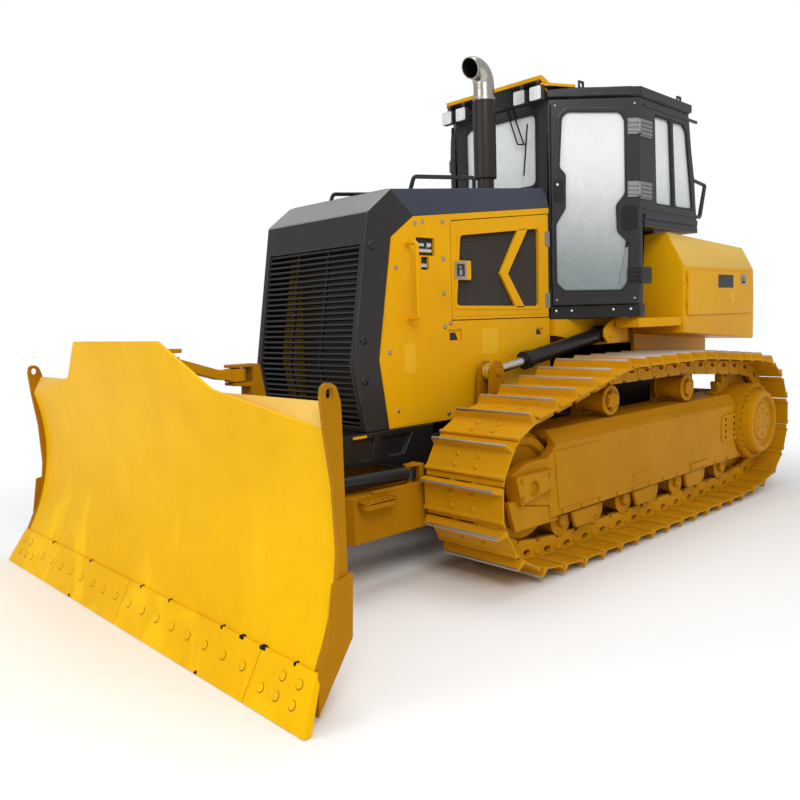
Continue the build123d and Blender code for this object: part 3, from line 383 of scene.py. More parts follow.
@dataclass(frozen=True)
class Pane(Finish):
    """Window glass painted pale as a reflection of the bright sky, thinning and greying towards its foot."""

    top: Point = (0.88, 0.9, 0.9)
    foot: Point = (0.33, 0.4, 0.415)
    low: float = 1.72
    high: float = 2.75
    reflection_cover: float = 0.93

    def make(self, s: Sheet) -> bpy.types.Material:
        """Write the material on a sheet."""
        rise = s.parts()[2].step(self.low, self.high)
        pale_patches = s.noise(16.0, 4.0, 0.7, s.stretched((1.0, 1.0, 0.5)), 0.8).step(0.42, 0.6)
        streak = s.noise(5.0, 3.0, 0.6).step(0.4, 0.7)
        # colour from the greyer foot to the pale top, with pale patches: a painted reflection of the bright sky
        colour = s.mixed(self.foot, self.top, rise)
        colour = s.mixed(colour, (0.93, 0.94, 0.94), pale_patches * rise * 0.35)
        veil = (rise * 0.18 + (self.reflection_cover - 0.2)) + streak * 0.04
        return s.finish(Base_Color=colour, Roughness=pale_patches * 0.1 + 0.08, Alpha=veil, IOR=1.5,
                        Coat_Weight=0.4, Coat_Roughness=0.03)


@dataclass(frozen=True)
class Cloth(Finish):
    """Woven seat cover."""

    tone: Point = (0.035, 0.035, 0.04)
    second: Point = (0.07, 0.07, 0.08)

    def make(self, s: Sheet) -> bpy.types.Material:
        """Write the material on a sheet."""
        weave = s.noise(420.0, 1.0, 0.5, s.stretched((1.0, 0.35, 1.0)))
        colour = s.mixed(self.tone, self.second, weave.step(0.4, 0.6) * 0.7 + s.noise(7.0) * 0.3)
        return s.finish(Base_Color=colour, Roughness=weave * 0.1 + 0.8, Sheen_Weight=0.3,
                        Normal=s.bump(weave * 0.0006, 0.8))


@dataclass(frozen=True)
class LampGlass(Finish):
    """Clear ribbed lamp lens over a bright reflector."""

    def make(self, s: Sheet) -> bpy.types.Material:
        """Write the material on a sheet."""
        ribs = s.bands(Axis.Y, 24.0, 0.4)
        colour = s.mixed((0.62, 0.63, 0.62), (0.9, 0.91, 0.9), ribs)
        return s.finish(Base_Color=colour, Roughness=ribs * 0.1 + 0.12, Metallic=0.35,
                        Coat_Weight=1.0, Coat_Roughness=0.04, Normal=s.bump(ribs * 0.002, 0.5))


WORKED = {"dust": (0.36, 0.2, 0.03), "coat": 0.0, "wave": 0.004, "shine": 0.12}
DARK = {"wear": 0.3, "sheen": (1.0, 1.0, 1.0)}
SMOOTH = {"dusty": 0.0, "wave": 0.0}

YELLOW = Paint("yellow enamel", "yellow")
# brighter copy of the yellow enamel: painted light on the lit blade face, plus the painted reflection ripples
LIT_BLADE_YELLOW = Paint("blade enamel", "yellow", (0.86, 0.48, 0.002), (0.72, 0.37, 0.002), wave=0.03, roughness=0.4,
                     wear=0.1, dusty=0.0, reflection_ripples=0.6, shine=0.08, coat=0.0)
# darker copy of the yellow enamel: painted shade for the undercarriage, yoke, top link and blade back, with dust on top
SHADED_CHASSIS_YELLOW = Paint("undercarriage enamel", "yellow", (0.52, 0.23, 0.003), (0.4, 0.165, 0.002),
                       (0.26, 0.13, 0.02), roughness=0.46, dusty=0.15, **WORKED)
# darker copy of the yellow enamel: painted shade for the push frame and the blade's end plates and skid
SHADED_FRAME_YELLOW = Paint("push frame enamel", "yellow", (0.4, 0.17, 0.003), (0.31, 0.125, 0.002), (0.22, 0.11, 0.02),
                     roughness=0.44, dusty=0.12, **WORKED)
# darker copy of the yellow enamel for the shoes: painted shade of the undercarriage, with dust and worn edges
SHADED_TRACK_YELLOW = Paint("shoe enamel", "track_steel", (0.6, 0.28, 0.004), (0.46, 0.2, 0.003), (0.42, 0.24, 0.04),
                     (0.44, 0.26, 0.04), 0.44, 0.0, 0.003, 0.18, 0.7, shine=0.14)
# paler copy of the yellow enamel for upward slopes: partly painted sheen, partly dust
SLOPE_SHEEN_YELLOW = Paint("blade top enamel", "yellow", (0.78, 0.5, 0.1), (0.74, 0.45, 0.07), roughness=0.4, wear=0.2,
                     dusty=0.1, wave=0.01)
LABEL = Paint("blank label film", "yellow", (0.82, 0.46, 0.02), (0.8, 0.44, 0.015), roughness=0.3, wear=0.1,
              dusty=0.05, wave=0.0)
GROOVE = Paint("shaded groove", "yellow", (0.3, 0.13, 0.002), (0.22, 0.1, 0.002), roughness=0.6, wear=0.0, **SMOOTH)
CHARCOAL = Paint("charcoal enamel", "charcoal", (0.028, 0.026, 0.025), (0.02, 0.018, 0.018), (0.07, 0.07, 0.07),
                 (0.09, 0.075, 0.06), 0.4, 0.12, 0.003, 0.18, **DARK)
# lighter grey for the mask's upward slope: partly lighter paint, partly a painted reflection of the bright sky
MASK_SLOPE_SHEEN = Paint("mask slope enamel", "charcoal", (0.22, 0.21, 0.205), (0.17, 0.165, 0.16), (0.2, 0.2, 0.2),
                 (0.2, 0.18, 0.16), 0.34, 0.25, 0.004, 0.15, shine=0.5, **DARK)
CAB_GREY = Paint("cab enamel", "charcoal", (0.032, 0.032, 0.034), (0.024, 0.024, 0.025), (0.1, 0.1, 0.1),
                 (0.1, 0.095, 0.085), 0.34, 0.18, 0.002, 0.14, **DARK)
# dark grey with a blue cast: the blue is a painted reflection of the sky on the hood's top
SKY_TINTED_HOOD_GREY = Paint("hood enamel", "charcoal", (0.042, 0.048, 0.07), (0.034, 0.04, 0.058), (0.1, 0.1, 0.12),
                  (0.14, 0.14, 0.14), 0.4, 0.2, 0.004, 0.15, **DARK)
BLACK = Paint("black enamel", "black", (0.013, 0.013, 0.014), (0.009, 0.009, 0.009), (0.07, 0.065, 0.06),
              (0.1, 0.08, 0.05), 0.3, 0.3, 0.001, 0.2, **DARK)
STACK = Paint("stack enamel", "dark_steel", (0.03, 0.024, 0.021), (0.02, 0.016, 0.014), (0.12, 0.06, 0.03),
              (0.09, 0.06, 0.045), 0.42, 0.1, 0.002, 0.3, 0.6, sheen=DARK["sheen"])
STEEL_TIP = Steel("worn grouser steel", "worn_steel", (0.62, 0.61, 0.6), roughness=0.34, stained=0.25)
BOLT_STEEL = Steel("zinc plated steel", "worn_steel", (0.45, 0.43, 0.4), roughness=0.36, stained=0.35)
HINGE_STEEL = Steel("grey cast hinge", "worn_steel", (0.26, 0.26, 0.255), (0.16, 0.16, 0.15), 0.5, 0.35, 0.3)
CHROME = Steel("hard chrome", "chrome", (0.72, 0.73, 0.75), (0.45, 0.44, 0.42), 0.16, 1.0, 0.12, 0.0001)
PIPE_STEEL = Steel("exhaust pipe steel", "dark_steel", (0.5, 0.47, 0.43), (0.16, 0.1, 0.06), 0.24, 1.0, 0.45, 0.0004)
IRON = Steel("dark cast iron", "dark_steel", (0.06, 0.055, 0.05), (0.1, 0.06, 0.03), 0.6, 0.5, grain=0.001)
RUBBER = Plastic("hose rubber", "plastic", (0.015, 0.015, 0.016), 0.5)
TRIM = Plastic("moulded trim", "plastic", (0.035, 0.035, 0.037))
# near-black: soot in the exhaust, painted shade in holes, recesses and behind the window mesh, and black chips on the
# blade
SOOT_AND_SHADE = Plastic("soot", "mesh", (0.004, 0.004, 0.004), 0.95, 0.0)
MESH_BLACK = Plastic("window mesh wire", "mesh", (0.07, 0.058, 0.047), 0.5, 0.3)
CORE = Core("radiator core", "mesh")
PANE = Pane("hazed window glass", "glass")
SEAT_CLOTH = Cloth("seat cloth", "seat")
LAMP = LampGlass("lamp lens", "lamp")


# ---------------------------------------------------------------- mesh shaping
RUB = "rub"
WELD = 0.00002
PACKED_WELD = 0.00001
SHARP = 0.45
PACKED_SHARP = 0.55
FACE_LEAD = 90
SHORTEST = 0.0005
ACROSS = Matrix.Scale(-1.0, 4, LEFTWARDS)


def geometry(shape: bmesh.types.BMesh) -> list:
    """All vertices, edges and faces of a mesh."""
    return shape.verts[:] + shape.edges[:] + shape.faces[:]


def picked(found: Iterable, kind: type) -> list:
    """The parts of one kind in an operator's result."""
    return [part for part in found if isinstance(part, kind)]


def swept(outline: Outline, holes: Sequence[Outline], axis: Axis, start: float, end: float) -> bmesh.types.BMesh:
    """Run a closed outline with holes along an axis.

    Args:
        outline: corners in the two other axes, in order.
        holes: outlines of the holes.
        axis: direction of the run.
        start: where it starts.
        end: where it ends.

    Returns:
        The closed shape.
    """
    shape = bmesh.new()
    place = {Axis.X: lambda a, b: (start, a, b), Axis.Y: lambda a, b: (a, start, b),
             Axis.Z: lambda a, b: (a, b, start)}[axis]
    way = Vector([float(axis is each) for each in Axis])
    if holes:
        edges = []
        for loop in (outline, *holes):
            verts = [shape.verts.new(place(a, b)) for a, b in loop]
            edges += [shape.edges.new((a, b)) for a, b in zip(verts, verts[1:] + verts[:1])]
        filled = bmesh.ops.triangle_fill(shape, use_beauty=True, use_dissolve=False, edges=edges)
        faces = picked(filled["geom"], bmesh.types.BMFace)
    else:
        faces = [shape.faces.new([shape.verts.new(place(a, b)) for a, b in outline])]
    grown = bmesh.ops.extrude_face_region(shape, geom=faces, use_keep_orig=True)
    bmesh.ops.translate(shape, verts=picked(grown["geom"], bmesh.types.BMVert), vec=way * (end - start))
    return shape


def linked(name: str, data: bpy.types.ID) -> bpy.types.Object:
    """Put an object with that data into the scene."""
    made = bpy.data.objects.new(name, data)
    bpy.context.scene.collection.objects.link(made)
    return made


class Form:
    """A piece while its mesh is being shaped with mesh operators."""

    def __init__(self, *finishes: Finish) -> None:
        """Start with an empty mesh; the last finish given is the current one."""
        self.bm = bmesh.new()
        self.bm.faces.layers.float.new(RUB)
        self.finishes: list[Finish] = []
        self.current = 0
        self.turn: Matrix | None = None
        for finish in finishes:
            self.use(finish)

    def use(self, finish: Finish) -> "Form":
        """Give what is added from now on that finish."""
        if finish not in self.finishes:
            self.finishes.append(finish)
        self.current = self.finishes.index(finish)
        return self

    def at(self, turn: Matrix | None) -> "Form":
        """Put what is added from now on in place with that matrix."""
        self.turn = turn
        return self

    def take(self, shape: bmesh.types.BMesh) -> "Form":
        """Move a shape's faces into the form."""
        carrier = bpy.data.meshes.new("carrier")
        shape.to_mesh(carrier)
        shape.free()
        self.bm.from_mesh(carrier)
        bpy.data.meshes.remove(carrier)
        return self

    def add(self, shape: bmesh.types.BMesh, soft: float = 0.0, segments: int = 2, angle: float = SHARP,
            clamp: bool = True) -> "Form":
        """Round a closed shape's sharp edges and add it with the current finish.

        Args:
            shape: the shape's own mesh, which is used up.
            soft: edge radius.
            segments: bevel segments.
            angle: smallest angle in radians of an edge that is rounded.
            clamp: keep the edge radius within the shape's shortest edges.

        Returns:
            The form.
        """
        if self.turn is not None:
            bmesh.ops.transform(shape, matrix=self.turn, verts=shape.verts[:])
        bmesh.ops.recalc_face_normals(shape, faces=shape.faces[:])
        shape.normal_update()
        rub = shape.faces.layers.float.new(RUB)
        for face in shape.faces:
            face.material_index = self.current
        if soft > 0:
            edges = [e for e in shape.edges if len(e.link_faces) == 2 and e.calc_face_angle(0.0) > angle]
            made = bmesh.ops.bevel(shape, geom=edges, offset=soft, offset_type="OFFSET", segments=segments,
                                   profile=0.5, affect="EDGES", clamp_overlap=clamp, material=-1)
            for face in made["faces"]:
                face[rub] = 1.0
                face.material_index = self.current
        return self.take(shape)

    def box(self, low: Point, high: Point, soft: float = 0.003, segments: int = 2) -> "Form":
        """Add a box between its lowest and its highest corner."""
        shape = bmesh.new()
        low, high = Vector(low), Vector(high)
        made = bmesh.ops.create_cube(shape, size=1.0)
        size = high - low
        matrix = Matrix.Translation((low + high) / 2) @ Matrix.Diagonal((*[abs(v) for v in size], 1.0))
        bmesh.ops.transform(shape, matrix=matrix, verts=made["verts"])
        return self.add(shape, soft, segments)

    def prism(self, outline: Outline, axis: Axis, start: float, end: float, soft: float = 0.003,
              segments: int = 2) -> "Form":
        """Add a closed outline run along an axis with that edge radius."""
        return self.add(swept(outline, (), axis, start, end), soft, segments)

    def plate(self, outline: Outline, holes: Sequence[Outline], axis: Axis, start: float, end: float,
              soft: float = 0.003) -> "Form":
        """Add a closed outline with holes run along an axis with that edge radius."""
        return self.add(swept(outline, holes, axis, start, end), soft)

    def carved(self, outline: Outline, axis: Axis, start: float, end: float, cuts: Sequence[tuple[Point, Point]],
               soft: float, segments: int = 2) -> "Form":
        """Add a closed outline run along an axis and cut flat by planes.

        Args:
            outline: corners in the two other axes, in order.
            axis: direction of the run.
            start: where it starts.
            end: where it ends.
            cuts: a point and an outward normal for each cutting plane.
            soft: edge radius.
            segments: bevel segments.

        Returns:
            The form.
        """
        shape = swept(outline, (), axis, start, end)
        for point, normal in cuts:
            made = bmesh.ops.bisect_plane(shape, geom=geometry(shape), plane_co=point, plane_no=normal,
                                          clear_outer=True)
            bmesh.ops.holes_fill(shape, edges=picked(made["geom_cut"], bmesh.types.BMEdge), sides=0)
        return self.add(shape, soft, segments)

    def rod(self, start: Point, end: Point, radius: float, sides: int = 24, soft: float = 0.0) -> "Form":
        """Add a round bar between two points."""
        shape = bmesh.new()
        start, end = Vector(start), Vector(end)
        run = end - start
        spin = run.to_track_quat("Z", "Y").to_matrix().to_4x4()
        bmesh.ops.create_cone(shape, cap_ends=True, segments=sides, radius1=radius, radius2=radius,
                              depth=run.length, matrix=Matrix.Translation((start + end) / 2) @ spin)
        return self.add(shape, soft, 2, 1.0)

    def turned(self, profile: Outline, centre: Point, way: Point, steps: int = 48) -> "Form":
        """Spin a profile of (distance along, radius) points about a line.

        Args:
            profile: points from one end to the other, closed onto the line when a radius is 0.
            centre: point on the line where the distance is 0.
            way: direction of the line.
            steps: steps of the full turn.

        Returns:
            The form.
        """
        shape = bmesh.new()
        way = Vector(way).normalized()
        spin = way.to_track_quat("Z", "Y").to_matrix().to_4x4()
        matrix = Matrix.Translation(Vector(centre)) @ spin
        verts = [shape.verts.new(matrix @ Vector((r, 0.0, a))) for a, r in profile]
        edges = [shape.edges.new(pair) for pair in zip(verts, verts[1:])]
        bmesh.ops.spin(shape, geom=verts + edges, cent=Vector(centre), axis=way, angle=math.tau,
                       steps=steps, use_merge=True)
        bmesh.ops.remove_doubles(shape, verts=shape.verts[:], dist=WELD)
        return self.add(shape)

    def bent(self, centre: Point, ring: Point, radius: float, wall: float, angle: float, steps: int,
             sides: int) -> "Form":
        """Add an open bent pipe that starts upwards and turns towards +X about a level line.

        Args:
            centre: point on the line that the pipe bends about.
            ring: middle of the pipe's foot.
            radius: outer radius.
            wall: wall thickness.
            angle: angle of the bend in degrees.
            steps: steps of the bend.
            sides: sides of the pipe.

        Returns:
            The form.
        """
        shape = bmesh.new()
        loops = []
        for size in (radius, radius - wall):
            made = bmesh.ops.create_circle(shape, cap_ends=False, segments=sides, radius=size,
                                           matrix=Matrix.Translation(Vector(ring)))
            loops += list({e for v in made["verts"] for e in v.link_edges})
        bmesh.ops.bridge_loops(shape, edges=loops)
        bmesh.ops.spin(shape, geom=geometry(shape), cent=Vector(centre), axis=LEFTWARDS,
                       angle=math.radians(angle), steps=steps)
        bmesh.ops.remove_doubles(shape, verts=shape.verts[:], dist=WELD)
        return self.add(shape)

    def bolt(self, at: Point, way: Point, size: float) -> "Form":
        """Add a bolt head on its washer, standing out of a surface."""
        at, way = Vector(at), Vector(way).normalized()
        self.rod(at - way * size * 0.3, at + way * size * 0.16, size * 1.35, 12)
        return self.rod(at + way * size * 0.1, at + way * size * 0.72, size, 6)

    def dome(self, at: Point, way: Point, radius: float, rise: float, sides: int) -> "Form":
        """Add a low round head standing out of a surface."""
        return self.turned(((-radius * 0.3, 0.0), (-radius * 0.3, radius), (0.0, radius), (rise * 0.55, radius * 0.86),
                            (rise * 0.9, radius * 0.5), (rise, 0.0)), at, way, sides)

    def line(self, points: Sequence[Point], radius: float, sides: int, corner: float) -> "Form":
        """Run a round bar smoothly past a few points.

        Args:
            points: corners of its route.
            radius: its radius.
            sides: sides of its section.
            corner: length of each rounded corner's legs.

        Returns:
            The form.
        """
        route = [Vector(p) for p in points]
        eased = [route[0]]
        for before, here, after in zip(route, route[1:], route[2:]):
            eased += [here + (before - here).normalized() * corner, here, here + (after - here).normalized() * corner]
        route = eased + [route[-1]]
        curve = bpy.data.curves.new("route", "CURVE")
        curve.dimensions = "3D"
        spline = curve.splines.new("NURBS")
        spline.points.add(len(route) - 1)
        for point, place in zip(spline.points, route):
            point.co = (*place, 1.0)
        spline.order_u = 3
        spline.use_endpoint_u = True
        spline.resolution_u = 6
        curve.bevel_depth = radius
        curve.bevel_resolution = max(0, sides // 4 - 1)
        curve.use_fill_caps = True
        holder = linked("route", curve)
        mesh = bpy.data.meshes.new_from_object(holder.evaluated_get(bpy.context.evaluated_depsgraph_get()))
        shape = bmesh.new()
        shape.from_mesh(mesh)
        bmesh.ops.remove_doubles(shape, verts=shape.verts[:], dist=WELD)
        bpy.data.objects.remove(holder)
        bpy.data.curves.remove(curve)
        bpy.data.meshes.remove(mesh)
        return self.add(shape)

    def stamp(self, mesh: bpy.types.Mesh, matrix: Matrix) -> "Form":
        """Add a placed copy of a mesh that keeps its own finishes."""
        shape = bmesh.new()
        shape.from_mesh(mesh)
        bmesh.ops.transform(shape, matrix=matrix, verts=shape.verts[:])
        return self.take(shape)

    def adopt(self, node: str, soft: float, segments: int = 2) -> "Form":
        """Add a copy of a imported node's mesh with that edge radius."""
        shape = bmesh.new()
        shape.from_mesh(FRAME["nodes"][node].data)
        bmesh.ops.remove_doubles(shape, verts=shape.verts[:], dist=PACKED_WELD)
        return self.add(shape, soft, segments, PACKED_SHARP, clamp=False)

    def tint(self, finish: Finish, test: Callable[[Vector, Vector], bool]) -> "Form":
        """Give a finish to the faces whose middle and normal pass a test."""
        kept = self.current
        self.use(finish)
        self.bm.normal_update()
        for face in self.bm.faces:
            if test(face.calc_center_median(), face.normal):
                face.material_index = self.current
        self.current = kept
        return self

    def mirror(self) -> "Form":
        """Add the mirror image across the machine's centre plane."""
        made = bmesh.ops.duplicate(self.bm, geom=geometry(self.bm))["geom"]
        bmesh.ops.transform(self.bm, matrix=ACROSS, verts=picked(made, bmesh.types.BMVert))
        bmesh.ops.reverse_faces(self.bm, faces=picked(made, bmesh.types.BMFace))
        return self

    def mesh(self, name: str) -> bpy.types.Mesh:
        """Close the form as a plain mesh."""
        made = bpy.data.meshes.new(name)
        self.bm.to_mesh(made)
        self.bm.free()
        return made

    def place(self, name: str, body: str, replaces: str = "", smooth: float = 32.0,
              weigh: bool = True) -> bpy.types.Object:
        """Close the form as a piece of the machine.

        Args:
            name: the piece's name.
            body: the body that it rides on.
            replaces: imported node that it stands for.
            smooth: largest angle in degrees that is shaded smooth.
            weigh: let large faces lead the shading.

        Returns:
            The object.
        """
        mesh = self.mesh(name)
        mesh.shade_smooth()
        mesh.set_sharp_from_angle(angle=math.radians(smooth))
        piece = linked(name, mesh)
        for finish in self.finishes:
            mesh.materials.append(finish.material())
        if weigh:
            weighted = piece.modifiers.new("weighted normals", "WEIGHTED_NORMAL")
            weighted.keep_sharp = True
            weighted.weight = FACE_LEAD
        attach(piece, body)
        if replaces:
            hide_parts(replaces)
        LOG.info("%s: %d faces", name, len(mesh.polygons))
        return piece

    def pair(self, side: Side, name: str, node: str, body: str = "", weigh: bool = True) -> None:
        """Turn a left-hand form into the side's form and place it.

        Args:
            side: the machine's side.
            name: the piece's name without the side.
            node: the replaced node's name without the side.
            body: the body's name without the side, or none for the chassis.
            weigh: let large faces lead the shading.
        """
        if side is Side.RIGHT:
            bmesh.ops.transform(self.bm, matrix=ACROSS, verts=self.bm.verts[:])
            bmesh.ops.reverse_faces(self.bm, faces=self.bm.faces[:])
        word = side.word
        self.place(f"{name}_{word}", f"{body}_{word}" if body else "chassis", f"{node}_{word}", weigh=weigh)


# ---------------------------------------------------------------- outlines
def rect(low_a: float, low_b: float, high_a: float, high_b: float) -> Outline:
    """Corners of a rectangle between two opposite corners."""
    return (low_a, low_b), (high_a, low_b), (high_a, high_b), (low_a, high_b)


def ring(a: float, b: float, reach_a: float, reach_b: float, count: int, shift: float = 0.0) -> Outline:
    """Points evenly round an ellipse about a centre, turned by a share of a step."""
    turns = [math.tau * (index + shift) / count for index in range(count)]
    return [(a + reach_a * math.cos(t), b + reach_b * math.sin(t)) for t in turns]


def rounded(points: Outline, radius: float | Sequence[float], steps: int = 4) -> Outline:
    """Round the corners of a closed outline.

    Args:
        points: the corners in order.
        radius: one radius, or one for each corner.
        steps: steps in each corner.

    Returns:
        The rounded outline.
    """
    count = len(points)
    radii = [radius] * count if isinstance(radius, (int, float)) else list(radius)
    found = []
    for index, (point, size) in enumerate(zip(points, radii)):
        here = Vector((*point, 0.0))
        back = Vector((*points[index - 1], 0.0)) - here
        ahead = Vector((*points[(index + 1) % count], 0.0)) - here
        half = back.angle(ahead) / 2
        reach = min(size / math.tan(half), back.length * 0.49, ahead.length * 0.49)
        if reach < SHORTEST:
            found.append((here.x, here.y))
            continue
        start, end = here + back.normalized() * reach, here + ahead.normalized() * reach
        for step in range(steps + 1):
            t = step / steps
            bend = start * (1 - t) ** 2 + here * (2 * t * (1 - t)) + end * t ** 2
            found.append((bend.x, bend.y))
    return found


def inset(points: Outline, by: float) -> Outline:
    """Move a closed outline's sides inwards, or outwards when the distance is negative."""
    count = len(points)
    area = sum(a[0] * b[1] - b[0] * a[1] for a, b in zip(points, (*points[1:], points[0])))
    turn = 1.0 if area > 0 else -1.0
    found = []
    for index, (x, y) in enumerate(points):
        back = Vector((x - points[index - 1][0], y - points[index - 1][1])).normalized()
        ahead = Vector((points[(index + 1) % count][0] - x, points[(index + 1) % count][1] - y)).normalized()
        lean = (Vector((-back.y, back.x)) + Vector((-ahead.y, ahead.x))) * turn
        reach = by / max(0.25, 0.5 * lean.length ** 2)
        found.append((x + lean.x * reach, y + lean.y * reach))
    return found


def along(route: Sequence[Vector], count: int) -> list[Vector]:
    """Places spread evenly along a route, with one at each end."""
    lengths = [(b - a).length for a, b in zip(route, route[1:])]
    total = sum(lengths)
    found = []
    for index in range(count):
        left = total * index / (count - 1)
        for start, end, length in zip(route, route[1:], lengths):
            if left <= length or end is route[-1]:
                found.append(start.lerp(end, min(1.0, left / length)))
                break
            left -= length
    return found


def frame_matrix(origin: Point, x_axis: Point, y_axis: Point) -> Matrix:
    """A placing matrix from an origin and two directions at a right angle."""
    x = Vector(x_axis).normalized()
    y = Vector(y_axis).normalized()
    matrix = Matrix((x, y, x.cross(y))).transposed().to_4x4()
    matrix.translation = Vector(origin)
    return matrix


# ---------------------------------------------------------------- stage
WHITE = (1.0, 1.0, 1.0, 1.0)
SKY_TINT = (0.95, 0.975, 1.0, 1.0)
SKY_LIGHT = 0.58
FLOOR_HALF = 60.0
FLOOR_FADE = (3.2, 5.2)


@dataclass(frozen=True)
class Viewpoint:
    """Where the camera stands and how it is turned, in radians."""

    place: Point = (4.395, 3.921, 1.531)
    yaw: float = 3.956
    pitch: float = -0.102
    roll: float = -0.031
    lens: float = 35.19


class Stage:
    """Pale floor, soft studio light and the camera."""

    def camera(self, v: Viewpoint = Viewpoint()) -> None:
        """Set the camera."""
        ahead = Vector((math.cos(v.yaw) * math.cos(v.pitch), math.sin(v.yaw) * math.cos(v.pitch), math.sin(v.pitch)))
        right = ahead.cross(Vector(UPWARDS)).normalized()
        up = right.cross(ahead)
        turned = right * math.cos(v.roll) + up * math.sin(v.roll)
        lifted = up * math.cos(v.roll) - right * math.sin(v.roll)
        matrix = Matrix((turned, lifted, -ahead)).transposed().to_4x4()
        matrix.translation = Vector(v.place)
        data = bpy.data.cameras.new("camera")
        data.lens = v.lens
        data.clip_end = 200.0
        camera = linked("camera", data)
        camera.matrix_world = matrix
        bpy.context.scene.camera = camera

    def floor(self) -> None:
        """Lay the floor, which fades to plain white away from the machine."""
        mesh = bpy.data.meshes.new("floor")
        form = bmesh.new()
        bmesh.ops.create_grid(form, x_segments=1, y_segments=1, size=FLOOR_HALF)
        form.to_mesh(mesh)
        form.free()
        sheet = Sheet(bpy.data.materials.new("floor"))
        x, y, _ = sheet.parts()
        path = sheet.node("ShaderNodeLightPath")
        camera, glossy, through = (path.out(f"Is {kind} Ray") for kind in ("Camera", "Glossy", "Transmission"))
        seen = (camera + glossy + through).step(0.0, 0.5)
        far = ((x * x + y * y) ** 0.5).step(*FLOOR_FADE)
        plain = sheet.node("ShaderNodeBsdfPrincipled", None, {
            "Base Color": (0.92, 0.92, 0.918, 1.0), "Roughness": 0.9, "Specular IOR Level": 0.1}).out()
        white = sheet.node("ShaderNodeEmission", None, {"Color": WHITE, "Strength": 1.0}).out()
        blend = sheet.node("ShaderNodeMixShader", None, {0: far * seen, 1: plain, 2: white}).out()
        sheet.node("ShaderNodeOutputMaterial", None, {0: blend})
        mesh.materials.append(sheet.owner)
        linked("floor", mesh)

    def lamp(self, name: str, place: Point, target: Point, size: float, power: float,
             colour: Point = WHITE[:3]) -> None:
        """Hang a soft round lamp that faces a target."""
        data = bpy.data.lights.new(name, "AREA")
        data.shape = "DISK"
        data.size = size
        data.energy = power
        data.color = colour
        lamp = linked(name, data)
        aim = (Vector(target) - Vector(place)).to_track_quat("-Z", "Y")
        lamp.matrix_world = Matrix.Translation(Vector(place)) @ aim.to_matrix().to_4x4()

    def sky(self) -> None:
        """Set a white backdrop for the eye and glass, and a softer one for light."""
        sheet = Sheet(bpy.data.worlds.new("studio"))
        path = sheet.node("ShaderNodeLightPath")
        camera = path.out("Is Camera Ray")
        seen = camera.maths("MAXIMUM", camera, path.out("Is Transmission Ray"))
        soft = sheet.node("ShaderNodeBackground", None, {"Color": SKY_TINT, "Strength": SKY_LIGHT}).out()
        white = sheet.node("ShaderNodeBackground", None, {"Color": WHITE}).out()
        mix = sheet.node("ShaderNodeMixShader", None, {0: seen, 1: soft, 2: white}).out()
        sheet.node("ShaderNodeOutputWorld", None, {0: mix})
        bpy.context.scene.world = sheet.owner

    def build(self) -> None:
        """Set the whole stage."""
        bpy.context.scene.view_settings.view_transform = "Standard"
        self.camera()
        self.floor()
        self.sky()
        self.lamp("key", (5.5, 7.5, 7.5), (0.0, 0.3, 1.0), 5.0, 450.0, (1.0, 0.985, 0.96))
        self.lamp("front", (9.0, -1.5, 4.0), (1.5, 0.0, 1.2), 5.0, 165.0)
        self.lamp("top", (-0.5, 0.0, 9.0), (0.0, 0.0, 1.0), 6.0, 250.0)


# ---------------------------------------------------------------- machine
class Assembly:
    """A named group of pieces on the machine."""

    def build(self) -> None:
        """Make the group's pieces."""
        raise NotImplementedError


def copied(node: str, piece: str, finish: Finish, soft: float, body: str = "chassis", segments: int = 2,
           weigh: bool = True) -> None:
    """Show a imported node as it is, with rounded edges.

    Args:
        node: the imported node.
        piece: the piece's name.
        finish: its finish.
        soft: edge radius.
        body: the body that it rides on.
        segments: bevel segments.
        weigh: let large faces lead the shading.
    """
    Form(finish).adopt(node, soft, segments).place(piece, body, node, weigh=weigh)


@dataclass(frozen=True)
class TrackSizes:
    """Sizes of a track chain and the wheels in it."""

    centre: float = 1.037
    half_width: float = 0.292
    plate: tuple[float, float] = (0.06, 0.072)
    tip: float = 0.127
    rail: float = 0.058
    pitch: float = 0.2032
    idler: tuple[float, float, float] = (0.795, 0.535, 0.373)
    sprocket: tuple[float, float, float] = (-2.18, 0.605, 0.4406)
    teeth: int = 27
    carriers: tuple[tuple[float, float], ...] = ((-0.135, 0.962), (-1.195, 0.96))
    carrier_wrap: float = 0.158
    roller_first: float = 0.445
    roller_step: float = 0.3667
    rollers: int = 7
    roller_radius: float = 0.092
    roller_z: float = 0.279
    corner_wrap: float = 0.15
    corner_past: float = 0.1


class SideAssembly(Assembly):
    """A group of pieces of one track."""

    def __init__(self, side: Side, sizes: TrackSizes) -> None:
        """Keep the side and the sizes."""
        self.side = side
        self.sizes = sizes


